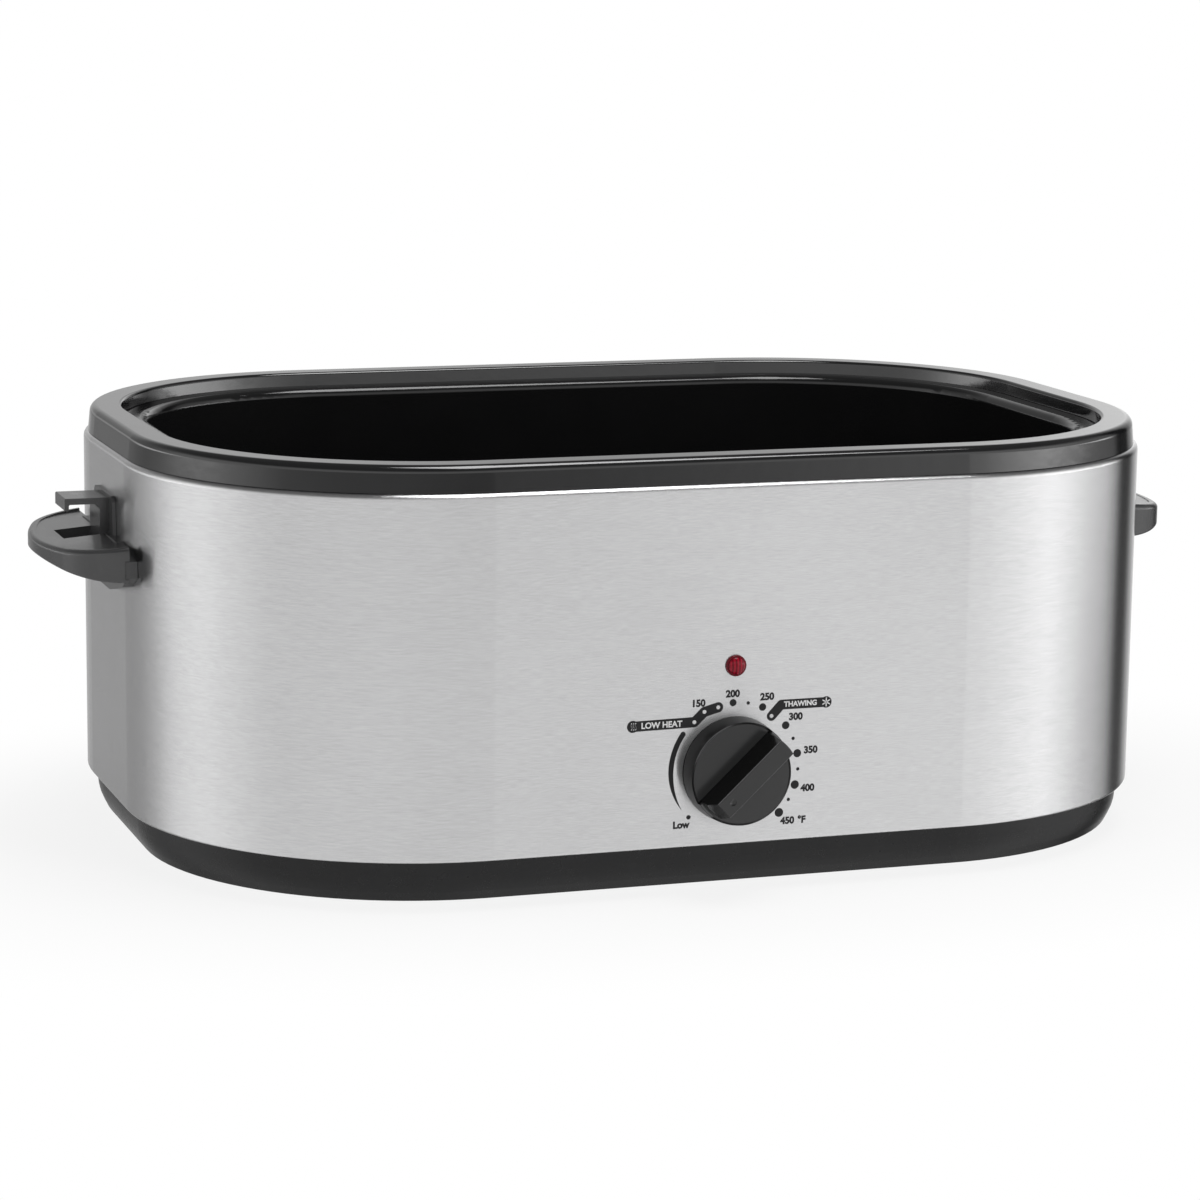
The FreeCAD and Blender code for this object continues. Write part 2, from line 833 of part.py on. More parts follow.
# ================================================================ knob and thermostat
def knob_blank():
    """The knob about its own axis: back edge at z = 0, pointer along +X."""
    skirt = Part.makeCone(knob_radius, knob_radius - knob_draft, knob_skirt)
    skirt = skirt.makeFillet(knob_edge_round * 2, [e for e in skirt.Edges
                                                   if e.BoundBox.ZMin > knob_skirt - hair])
    half_bar = knob_bar_width / 2
    slope = math.degrees(math.atan2(knob_dish, knob_radius - half_bar))
    wide = 2 * knob_radius
    for side in (-1, 1):
        face = box(-wide, wide, 0, wide, 0, knob_rise)
        face.rotate(point(0, 0, 0), point(1, 0, 0), slope)
        face.translate(point(0, half_bar, knob_skirt - knob_dish))
        if side < 0:
            face.rotate(point(0, 0, 0), STRAIGHT_UP, 180)
        skirt = skirt.cut(face)
    bar = box(-wide, wide, -half_bar, half_bar, 0, knob_rise)
    bar = bar.common(Part.makeCylinder(knob_bar_far, knob_rise))
    nose = [
        (knob_bar_near, knob_rise),
        (knob_radius - knob_draft, knob_skirt),
        (wide, knob_skirt),
        (wide, knob_rise + past),
        (knob_bar_near, knob_rise + past),
    ]
    loop = [point(x, -knob_radius, z) for x, z in nose]
    cut_nose = Part.Face(Part.makePolygon(loop + loop[:1])).extrude(point(0, 2 * knob_radius, 0))
    bar = bar.cut(cut_nose)
    top_edges = [e for e in bar.Edges if e.BoundBox.ZMin > knob_rise - hair]
    bar = bar.makeFillet(knob_edge_round, top_edges)
    return fuse_all([skirt, bar])


def control_knob():
    shape = knob_blank()
    hollow = Part.makeCylinder(knob_radius - knob_hollow_wall, knob_hollow)
    hub = Part.makeCylinder(knob_hub_radius, knob_hollow)
    bore = Part.makeCylinder(shaft_radius + running_gap, shaft_into_knob + body_gap)
    dimple = Part.makeCylinder(knob_dimple_radius, knob_dimple_depth + past,
                               point(knob_dimple_at, 0, knob_rise - knob_dimple_depth))
    shape = shape.cut(hollow.cut(hub)).cut(bore).cut(dimple)
    return on_front(shape)


def on_front(shape):
    """Turn a shape made about +Z so that it stands out of the front, pointer at rest."""
    shape = shape.copy()
    # First the pointer turns in the plane, then the axis lies down along -Y.
    shape.rotate(point(0, 0, 0), STRAIGHT_UP, 90 - knob_rest_angle)
    shape.rotate(point(0, 0, 0), point(1, 0, 0), 90)
    shape.translate(front(0, -knob_gap, knob_height))
    return shape


def shaft_flat_cut():
    """The space of the flat on the shaft's outer end, about the knob's own axis."""
    start = shaft_into_knob - shaft_flat_length
    wide = 2 * shaft_radius
    return box(-wide, wide, shaft_radius - shaft_flat, wide, start, shaft_into_knob + past)


def knob_clip():
    """Spring steel pad that fills the flat, so that the shaft drives the knob."""
    length = shaft_flat_length - body_gap
    pad = Part.makeCylinder(shaft_radius, length, point(0, 0, shaft_into_knob - length))
    keep = shaft_flat_cut()
    keep.translate(point(0, clip_gap, 0))
    return on_front(pad.common(keep))


def thermostat_shaft():
    inner = bracket_thickness + inside_face + face_gap + shaft_into_body
    body = Part.makeCylinder(shaft_radius, shaft_into_knob + knob_gap + inner,
                             point(0, 0, -knob_gap - inner))
    return on_front(body.cut(shaft_flat_cut()))


def thermostat_front():
    """Depth of the thermostat's front face behind the shell's outer face."""
    return inside_face + bracket_thickness + face_gap


def thermostat_body():
    near = thermostat_front()
    half_w, half_h = thermostat_width / 2, thermostat_height / 2
    shape = box(-half_w, half_w, -half_depth + near, -half_depth + near + thermostat_depth,
                knob_height - half_h, knob_height + half_h)
    long_edges = [e for e in shape.Edges if abs(e.BoundBox.YLength - thermostat_depth) < hair]
    shape = shape.makeFillet(thermostat_round, long_edges)
    bore = rod(front(0, near - past, knob_height),
               front(0, near + shaft_into_body + body_gap, knob_height), shaft_radius + running_gap)
    return shape.cut(bore)


def thermostat_bracket():
    half_w, half_h = bracket_width / 2, bracket_height / 2
    shape = box(-half_w, half_w, -half_depth + inside_face,
                -half_depth + inside_face + bracket_thickness,
                knob_height - half_h, knob_height + half_h)
    deep = thermostat_front() + past
    holes = [rod(front(0, 0, knob_height), front(0, deep, knob_height),
                 shaft_radius + screw_gap)]
    for side in (-1, 1):
        x = side * bracket_screw_x
        holes.append(rod(front(x, 0, knob_height), front(x, deep, knob_height),
                         small_screw_radius + thread_gap))
    return shape.cut(Part.makeCompound(holes))


def thermostat_screws():
    return Part.makeCompound([
        screw(front(side * bracket_screw_x, -face_gap, knob_height), (0, 1, 0),
              small_screw_radius, bracket_screw_length, bracket_screw_head, small_head_height)
        for side in (-1, 1)])


def blade_top():
    return knob_height - thermostat_height / 2 - face_gap


def blade_end():
    return blade_top() - blade_length


def thermostat_blades():
    parts = []
    for x in blade_places:
        y = -half_depth + blade_depth
        parts.append(box(x - blade_width / 2, x + blade_width / 2, y - blade_thickness / 2,
                         y + blade_thickness / 2, blade_end(), blade_top()))
    return Part.makeCompound(parts)


def sensing_bulb():
    return rod(front(bulb_start_x, bulb_inset, bulb_z),
               front(bulb_start_x + bulb_length, bulb_inset, bulb_z), bulb_radius)


def bulb_clip():
    """Saddle that holds the bulb against the well's wall."""
    middle = bulb_start_x + bulb_length / 2
    half = bulb_clip_width / 2
    radius = bulb_radius + thread_gap
    reach = radius + bulb_clip_wall
    y_bulb = -half_depth + bulb_inset
    y_well = -half_depth + well_back - face_gap
    low, high = middle - half - past, middle + half + past
    shape = box(middle - half, middle + half, y_bulb - reach, y_well, bulb_z - reach, bulb_z + reach)
    bore = rod(point(low, y_bulb, bulb_z), point(high, y_bulb, bulb_z), radius)
    mouth = box(low, high, y_bulb, y_well + past, bulb_z - radius, bulb_z + radius)
    return shape.cut(bore.fuse(mouth))


def capillary_tube():
    start = thermostat_front() + thermostat_depth + face_gap
    end = bulb_start_x - body_gap
    middle = (start + band_outer) / 2
    level = knob_height + capillary_above_axis
    points = [
        front(capillary_x, start, level),
        front(capillary_x, middle, level),
        front(capillary_x, middle, bulb_z),
        front(end - capillary_bend, middle, bulb_z),
        front(end - capillary_bend / 2, bulb_inset, bulb_z),
        front(end, bulb_inset, bulb_z),
    ]
    return bent_tube(points, capillary_radius, capillary_bend / 3)


# ================================================================ indicator lamp
def indicator_lens():
    """A domed red lens whose hollow stem passes through the shell."""
    flange = rod(front(0, -face_gap, lamp_height), front(0, -face_gap - lens_flange, lamp_height),
                 lens_radius)
    sphere_radius = (lens_radius ** 2 + lens_dome ** 2) / (2 * lens_dome)
    centre = front(0, -face_gap - lens_flange - lens_dome + sphere_radius, lamp_height)
    dome = Part.makeSphere(sphere_radius, centre)
    wide = 2 * sphere_radius
    y_top = -half_depth - face_gap - lens_flange
    dome = dome.common(box(-wide, wide, y_top - wide, y_top, lamp_height - wide, lamp_height + wide))
    stem = rod(front(0, -face_gap - lens_flange / 2, lamp_height),
               front(0, lens_stem_length, lamp_height), lens_stem_radius)
    bore = rod(front(0, 0, lamp_height), front(0, lens_stem_length + past, lamp_height),
               lens_bore_radius)
    return fuse_all([flange, dome, stem]).cut(bore)


def lamp_retainer():
    """Push-on ring that holds the lens from behind the shell."""
    return pipe(front(0, inside_face, lamp_height),
                front(0, inside_face + retainer_thickness, lamp_height),
                retainer_radius, lens_stem_radius + thread_gap)


def neon_lamp():
    start = lens_stem_length - neon_length
    straight_end = lens_stem_length - face_gap
    tube = rod(front(0, start + neon_radius, lamp_height), front(0, straight_end, lamp_height),
               neon_radius)
    nose = Part.makeSphere(neon_radius, front(0, start + neon_radius, lamp_height))
    return tube.fuse(nose).removeSplitter()


# ================================================================ side handles
def left(reach, y, z):
    """A point outside the left end, by its distance from that end's face."""
    return point(-half_length - reach, y, z)


def grip_plan(margin):
    """The grip's outline in plan, shrunk by margin: three tangent arcs and a chord."""
    side_y = handle_half_width - handle_side_radius
    nose_radius = (handle_reach ** 2 + side_y ** 2 - handle_side_radius ** 2) / (
        2 * (handle_reach - handle_side_radius))
    nose_at = handle_reach - nose_radius
    meet = math.atan2(side_y, -nose_at)

    def on_nose(angle):
        radius = nose_radius - margin
        return left(nose_at + radius * math.cos(angle), radius * math.sin(angle), 0)

    def on_side(side, angle):
        radius = handle_side_radius - margin
        return left(radius * math.cos(angle), side * (side_y + radius * math.sin(angle)), 0)

    right_angle = math.pi / 2
    halfway = (right_angle + meet) / 2
    corners = [on_side(side, right_angle) for side in (-1, 1)]
    edges = [
        Part.Arc(corners[0], on_side(-1, halfway), on_side(-1, meet)),
        Part.Arc(on_side(-1, meet), on_nose(0), on_side(1, meet)),
        Part.Arc(on_side(1, meet), on_side(1, halfway), corners[1]),
        Part.LineSegment(corners[1], corners[0]),
    ]
    return Part.Face(Part.Wire([edge.toShape() for edge in edges]))


def above_top(drop_at_root):
    """Everything above the grip's sloping top face, lowered towards the shell."""
    high = handle_nose_top + handle_top_rise
    nose = left(handle_reach, -tall, handle_nose_top)
    root = left(0, -tall, high - drop_at_root)
    run = root - nose
    loop = [nose - run, root + run, point(0, -tall, tall), left(tall, -tall, tall), nose - run]
    return Part.Face(Part.makePolygon(loop)).extrude(point(0, 2 * tall, 0))


def below_grip():
    """Everything under the grip's hollow-curved underside."""
    rise = handle_nose_low - handle_root_low
    run = handle_reach - cheek_thickness
    radius = (run ** 2 + rise ** 2) / (2 * rise)
    centre = left(cheek_thickness, -tall, handle_root_low + radius)
    keep = Part.makeCylinder(radius, 2 * tall, centre, AWAY_FROM_FRONT)
    block = box(-half_length - tall, -half_length - cheek_thickness, -tall, tall,
                0, handle_root_low + radius)
    return block.cut(keep).fuse(box(-half_length - 2 * cheek_thickness, 0, -tall, tall,
                                    0, handle_root_low)).removeSplitter()


def round_edges(shape, radius, chosen):
    """Round the chosen edges of a shape."""
    return shape.makeFillet(radius, [edge for edge in shape.Edges if chosen(edge)])


def is_grip_rim(edge):
    """True for the curved edges that run round the grip, above or below."""
    bounds = edge.BoundBox
    return bounds.XMin < -half_length - past and min(bounds.XLength, bounds.YLength) > past


def grip():
    low, high = cheek_low, handle_nose_top + handle_top_rise + past
    shape = grip_plan(0).extrude(point(0, 0, high - low))
    shape.translate(point(0, 0, low))
    shape = shape.cut(above_top(0)).cut(below_grip()).Solids[0]
    middle = (handle_nose_low + handle_nose_top) / 2
    shape = round_edges(shape, handle_top_round,
                        lambda e: is_grip_rim(e) and e.BoundBox.ZMax > middle + past)
    shape = round_edges(shape, handle_low_round,
                        lambda e: is_grip_rim(e) and e.BoundBox.ZMax < middle + past)
    panel = grip_plan(handle_lip).extrude(point(0, 0, tall))
    return shape.cut(panel.common(above_top(handle_panel_depth)))


def side_plate(corners, thickness):
    """A plate on the left end from the (half width, height) corners of one half."""
    loop = [left(thickness, -half, z) for half, z in corners]
    loop += [left(thickness, half, z) for half, z in reversed(corners)]
    plate = Part.Face(Part.makePolygon(loop + loop[:1]))
    return plate.extrude(point(thickness + hem_width, 0, 0))


def handle_cheek():
    """Plate that bears on the shell, with the tongue that rises behind the hook."""
    plate = side_plate([
        (cheek_low_half, cheek_low),
        (cheek_side_low_half, cheek_side_low),
        (cheek_middle_half, cheek_middle),
        (cheek_side_high_half, cheek_side_high),
        (cheek_high_half, cheek_high),
    ], cheek_thickness)
    tongue = side_plate([(tongue_half_low, cheek_middle), (tongue_half_top, tongue_top)],
                        tongue_thickness)
    tongue = round_edges(tongue, tongue_round, lambda e: e.BoundBox.ZMin > tongue_top - hair
                         and e.BoundBox.YLength < hair)
    return [plate, tongue]


def lid_hook():
    """Hook over the slot, in one with the handle, that the lid's rim hangs on."""
    end = -half_length
    outer = end - hook_reach
    corners = [
        (end, cheek_middle, 0),
        (end, hook_top, 0),
        (outer, hook_top, hook_edge_round),
        (outer, hook_top - hook_lip_drop, hook_edge_round),
        (outer + hook_lip, hook_top - hook_lip_drop, hook_edge_round),
        (outer + hook_lip, hook_top - hook_arm, hook_edge_round),
        (end - hook_upright, hook_top - hook_arm, hook_inner_round),
        (end - hook_upright, cheek_middle, 0),
    ]
    loop = rounded_loop(corners, lambda x, z: point(x, -hook_half_width, z))
    return Part.Face(loop).extrude(point(0, 2 * hook_half_width, 0))


def left_handle():
    slot = box(-half_length - handle_slot_outer, -half_length - hook_upright,
               -handle_slot_half, handle_slot_half, 0, hook_top - 2 * hook_arm)
    behind_cheek = box(-half_length - cheek_thickness / 2, 0, -tall, tall, 0, tall)
    shape = grip().cut(slot).cut(behind_cheek)
    shape = fuse_all([shape, lid_hook()] + handle_cheek())
    shape = shape.cut(plan_prism(-face_gap, 0, tall))
    holes = []
    for y, z in handle_screw_places():
        start = left(handle_screw_depth + body_gap, y, z)
        holes.append(rod(start, left(-past, y, z), handle_screw_radius + thread_gap))
    return shape.cut(Part.makeCompound(holes))


def left_backing_strip():
    """Steel strip inside the shell that spreads the load of the handle."""
    inner = left(-inside_face - face_gap, 0, handle_middle())
    shape = box(inner.x, inner.x + strip_thickness, -strip_half_length, strip_half_length,
                inner.z - strip_half_height, inner.z + strip_half_height)
    holes = [end_hole(y, z, handle_screw_radius + screw_gap) for y, z in handle_screw_places()]
    return shape.cut(Part.makeCompound(holes))


def left_handle_screws():
    """Two screws into the handle, from inside the shell."""
    depth = inside_face + 2 * face_gap + strip_thickness
    return Part.makeCompound([
        screw(left(-depth, y, z), (-1, 0, 0), handle_screw_radius, depth + handle_screw_depth,
              handle_screw_head, handle_screw_head_height)
        for y, z in handle_screw_places()])


# ================================================================ mains side
def cord_gland():
    """Snap-in bush in the rear wall that the mains cord passes through."""
    outside = -face_gap
    inside = inside_face
    flange = rod(rear(0, outside, gland_height), rear(0, outside - gland_flange, gland_height),
                 gland_radius)
    neck = rod(rear(0, outside - gland_flange / 2, gland_height),
               rear(0, inside + gland_tail, gland_height), gland_neck_radius)
    snap = Part.makeCone(gland_snap_radius, gland_neck_radius, gland_tail / 2,
                         rear(0, inside, gland_height), point(0, -1, 0))
    lip_bore = rod(rear(0, outside - gland_flange - past, gland_height),
                   rear(0, outside + past, gland_height), gland_bore_radius)
    wide_bore = rod(rear(0, outside, gland_height),
                    rear(0, inside + gland_tail + past, gland_height),
                    gland_bore_radius + gland_relief)
    return fuse_all([flange, neck, snap]).cut(lip_bore.fuse(wide_bore))


def block_low():
    return plate_top + face_gap


def terminal_block():
    low = block_low()
    shape = box(-block_length / 2, block_length / 2, block_y - block_width / 2,
                block_y + block_width / 2, low, low + block_height)
    cuts = []
    for index in (-1, 0, 1):
        x = index * block_cell
        level = wire_level
        cuts.append(rod(point(x, block_y - block_width, level),
                        point(x, block_y + block_width, level), wire_radius + screw_gap))
    cuts.append(rod(point(0, block_y, low - past), point(0, block_y, low + block_height / 4),
                    block_screw_radius + thread_gap))
    return shape.cut(Part.makeCompound(cuts))


def block_screw():
    length = plate_thickness + 2 * face_gap + block_height / 5
    return screw(point(0, block_y, plate_low - face_gap), (0, 0, 1), block_screw_radius, length,
                 small_head_radius, small_head_height)


def live_wire():
    """From the terminal block to the thermostat's first blade."""
    x = blade_places[0]
    y_blade = -half_depth + blade_depth
    start = point(-block_cell, block_y + block_width / 4, wire_level)
    points = [
        start,
        point(-block_cell, block_y - wire_lead, wire_level),
        point(x, y_blade + wire_lead, wire_level),
        point(x, y_blade, wire_level),
        point(x, y_blade, blade_end() - face_gap),
    ]
    return bent_tube(points, wire_radius, wire_bend)


def fuse_inset():
    return well_back - face_gap - fuse_clip_wall - fuse_sleeve_radius


def load_wire():
    """From the thermostat's last blade to the thermal fuse, then to the heater."""
    x = blade_places[-1]
    y_blade = -half_depth + blade_depth
    fuse_z = bulb_z
    fuse_end = fuse_x + fuse_sleeve_length / 2 + face_gap
    outer_x = fuse_end + wire_swing
    y_rear = half_depth - fuse_inset()
    first = [
        point(x, y_blade, blade_end() - face_gap),
        point(x, y_blade, wire_level),
        point(x, y_blade + wire_lead, wire_level),
        point(outer_x, half_depth - wire_lead, wire_level),
        point(outer_x, y_rear, wire_level),
        point(outer_x, y_rear, fuse_z),
        point(fuse_end, y_rear, fuse_z),
    ]
    post_x = heater_post_places()[-1]
    post_y = half_depth - band_outer + heater_post_length - heater_post_radius
    near_end = fuse_x - fuse_sleeve_length / 2 - face_gap
    second = [
        point(near_end, y_rear, fuse_z),
        point(post_x, y_rear, fuse_z),
        point(post_x, post_y, fuse_z - wire_drop),
        point(post_x, post_y, band_middle + heater_post_radius + face_gap),
    ]
    return Part.makeCompound([bent_tube(first, wire_radius, wire_bend),
                              bent_tube(second, wire_radius, short_bend)])


def neutral_wire():
    """From the terminal block to the heater's other post."""
    post_x = heater_post_places()[0]
    post_y = half_depth - band_outer + heater_post_length - heater_post_radius
    points = [
        point(block_cell, block_y + block_width / 4, wire_level),
        point(block_cell, block_y + block_width, wire_level),
        point(post_x, post_y, wire_level + wire_swing),
        point(post_x, post_y, band_middle - heater_post_radius - face_gap),
    ]
    return bent_tube(points, wire_radius, wire_bend)


def lamp_wires():
    """Two thin leads from the lamp to the thermostat's middle blades."""
    behind = (thermostat_front() + thermostat_depth + band_outer) / 2
    parts = []
    for side, x in ((-1, blade_places[1]), (1, blade_places[2])):
        start_x = side * neon_radius / 2
        parts.append(bent_tube([
            front(start_x, lens_stem_length + face_gap, lamp_height),
            front(start_x, behind, lamp_height),
            front(x, behind, lamp_height - lamp_wire_drop),
            front(x, behind, blade_end() - wire_drop),
            front(x, blade_depth, blade_end() - wire_drop),
            front(x, blade_depth, blade_end() - face_gap),
        ], lamp_wire_radius, lamp_wire_bend))
    return Part.makeCompound(parts)


def thermal_fuse():
    middle = rear(fuse_x, fuse_inset(), bulb_z)
    half = point(fuse_sleeve_length / 2, 0, 0)
    return rod(middle - half, middle + half, fuse_sleeve_radius)


def fuse_clip():
    half = fuse_clip_width / 2
    reach = fuse_sleeve_radius + thread_gap + fuse_clip_wall
    y = half_depth - fuse_inset()
    shape = box(fuse_x - half, fuse_x + half, half_depth - well_back + face_gap, y + reach,
                bulb_z - reach, bulb_z + reach)
    bore = rod(point(fuse_x - half - past, y, bulb_z), point(fuse_x + half + past, y, bulb_z),
               fuse_sleeve_radius + thread_gap)
    return shape.cut(bore)


# ================================================================ all the nodes
def all_parts():
    parts = {
        "outer_shell": outer_shell(),
        "cooking_well": cooking_well(),
        "roasting_pan": roasting_pan(),
        "base_skirt": base_skirt(),
        "bottom_plate": bottom_plate(),
        "bottom_plate_screws": bottom_plate_screws(),
        "well_studs": well_studs(),
        "stud_nuts": stud_nuts(),
        "lower_spacers": lower_spacers(),
        "upper_spacers": upper_spacers(),
        "heat_shield": heat_shield(),
        "floor_blanket": floor_blanket(),
        "wall_blanket": wall_blanket(),
        "heater_band": heater_band(),
        "band_clamp": band_clamp(),
        "heater_posts": heater_posts(),
        "heater_beads": heater_beads(),
        "control_knob": control_knob(),
        "knob_clip": knob_clip(),
        "thermostat_shaft": thermostat_shaft(),
        "thermostat_body": thermostat_body(),
        "thermostat_bracket": thermostat_bracket(),
        "thermostat_screws": thermostat_screws(),
        "thermostat_blades": thermostat_blades(),
        "sensing_bulb": sensing_bulb(),
        "bulb_clip": bulb_clip(),
        "capillary_tube": capillary_tube(),
        "indicator_lens": indicator_lens(),
        "lamp_retainer": lamp_retainer(),
        "neon_lamp": neon_lamp(),
        "lamp_wires": lamp_wires(),
        "cord_gland": cord_gland(),
        "terminal_block": terminal_block(),
        "block_screw": block_screw(),
        "live_wire": live_wire(),
        "neutral_wire": neutral_wire(),
        "load_wire": load_wire(),
        "thermal_fuse": thermal_fuse(),
        "fuse_clip": fuse_clip(),
    }
    names = ("front_left", "rear_left", "front_right", "rear_right")
    for name, (x, y) in zip(names, four_corners(foot_x, foot_y)):
        parts["foot_" + name] = foot(x, y)
    left_side = {
        "handle": left_handle(),
        "backing_strip": left_backing_strip(),
        "handle_screws": left_handle_screws(),
    }
    for name, shape in left_side.items():
        parts["left_" + name] = shape
        parts["right_" + name] = mirrored(shape)
    return parts


os.makedirs("parts", exist_ok=True)
for node, shape in all_parts().items():
    solids = shape.Solids
    print(node, "solids", len(solids), "valid", shape.isValid(), "volume", round(shape.Volume, 1))
    written = Part.makeCompound(solids)
    written.translate(point(0, frame_shift, 0))
    written.exportStep("parts/" + node + ".step")
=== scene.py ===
"""Looks of an electric roaster oven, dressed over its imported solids.

Everything is in metres and in the part's own frame: +X to the right along the front,
+Y to the back, +Z up, with the table at zero.
"""

import json
import logging
import math
from dataclasses import dataclass
from enum import Enum
from functools import cache
from typing import Any, Union

import bmesh
import bpy
from mathutils import Matrix, Vector


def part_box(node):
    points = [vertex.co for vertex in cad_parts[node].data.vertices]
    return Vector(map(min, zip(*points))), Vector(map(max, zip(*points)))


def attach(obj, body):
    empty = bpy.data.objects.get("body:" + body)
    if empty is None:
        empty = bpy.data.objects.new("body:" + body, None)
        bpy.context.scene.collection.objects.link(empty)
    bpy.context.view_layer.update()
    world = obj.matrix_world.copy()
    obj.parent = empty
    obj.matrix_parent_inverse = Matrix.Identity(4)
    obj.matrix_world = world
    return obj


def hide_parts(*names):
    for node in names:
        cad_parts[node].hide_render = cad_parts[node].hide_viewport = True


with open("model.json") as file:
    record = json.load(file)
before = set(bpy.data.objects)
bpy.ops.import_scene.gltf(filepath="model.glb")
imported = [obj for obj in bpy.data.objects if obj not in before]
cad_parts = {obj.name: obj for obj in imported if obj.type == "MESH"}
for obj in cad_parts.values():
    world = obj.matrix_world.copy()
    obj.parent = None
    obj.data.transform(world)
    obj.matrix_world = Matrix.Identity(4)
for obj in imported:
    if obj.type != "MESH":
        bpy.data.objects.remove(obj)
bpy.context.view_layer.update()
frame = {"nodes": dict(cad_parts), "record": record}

MM = 0.001
KNOB_HEIGHT = 60.9 * MM
MERGE_DISTANCE = 1e-7
WHITE = (1.0, 1.0, 1.0, 1.0)
LOG = logging.getLogger("roaster_oven")

Colour = tuple[float, float, float]
Point = tuple[float, float, float]
Spot = tuple[float, float]
Number = Union[int, float, "Value"]


# ---- shader arithmetic
@dataclass(frozen=True)
class Value:
    """A number socket of a shader that takes part in Python arithmetic."""

    graph: "Graph"
    socket: bpy.types.NodeSocket | None

    def _join(self, operation: str, first: Number, second: Number = 0.0) -> "Value":
        """The result of one Math node with this operation and these two values."""
        return self.graph.add("ShaderNodeMath", {"operation": operation}, {0: first, 1: second})

    def __add__(self, other: Number) -> "Value":
        """self + other."""
        return self._join("ADD", self, other)

    __radd__ = __add__

    def __sub__(self, other: Number) -> "Value":
        """self - other."""
        return self._join("SUBTRACT", self, other)

    def __rsub__(self, other: Number) -> "Value":
        """other - self."""
        return self._join("SUBTRACT", other, self)

    def __mul__(self, other: Number) -> "Value":
        """self * other."""
        return self._join("MULTIPLY", self, other)

    def __truediv__(self, other: Number) -> "Value":
        """self / other."""
        return self._join("DIVIDE", self, other)

    def __pow__(self, other: Number) -> "Value":
        """self ** other."""
        return self._join("POWER", self, other)

    def __abs__(self) -> "Value":
        """abs(self)."""
        return self._join("ABSOLUTE", self)

    def sine(self) -> "Value":
        """The sine of the value, in radians."""
        return self._join("SINE", self)

    def turn_from(self, ahead: "Value") -> "Value":
        """The angle in radians whose tangent is self over ahead."""
        return self._join("ARCTAN2", self, ahead)

    def at_least(self, other: Number) -> "Value":
        """The larger of the two values."""
        return self._join("MAXIMUM", self, other)

    def ramp(self, low: float, high: float) -> "Value":
        """Rise smoothly from 0 where the value is low to 1 where it is high."""
        sockets = {"Value": self, "From Min": low, "From Max": high}
        return self.graph.add("ShaderNodeMapRange", {"interpolation_type": "SMOOTHSTEP"}, sockets)

    def past(self, edge: float, start: float, end: float) -> "Value":
        """Rise from 0 to 1 between two distances past an edge, given in millimetres."""
        return self.ramp(edge + start * MM, edge + end * MM)


class Cells(Enum):
    """How the cells of a pattern meet."""

    CRISP = "F1"
    SOFT = "SMOOTH_F1"


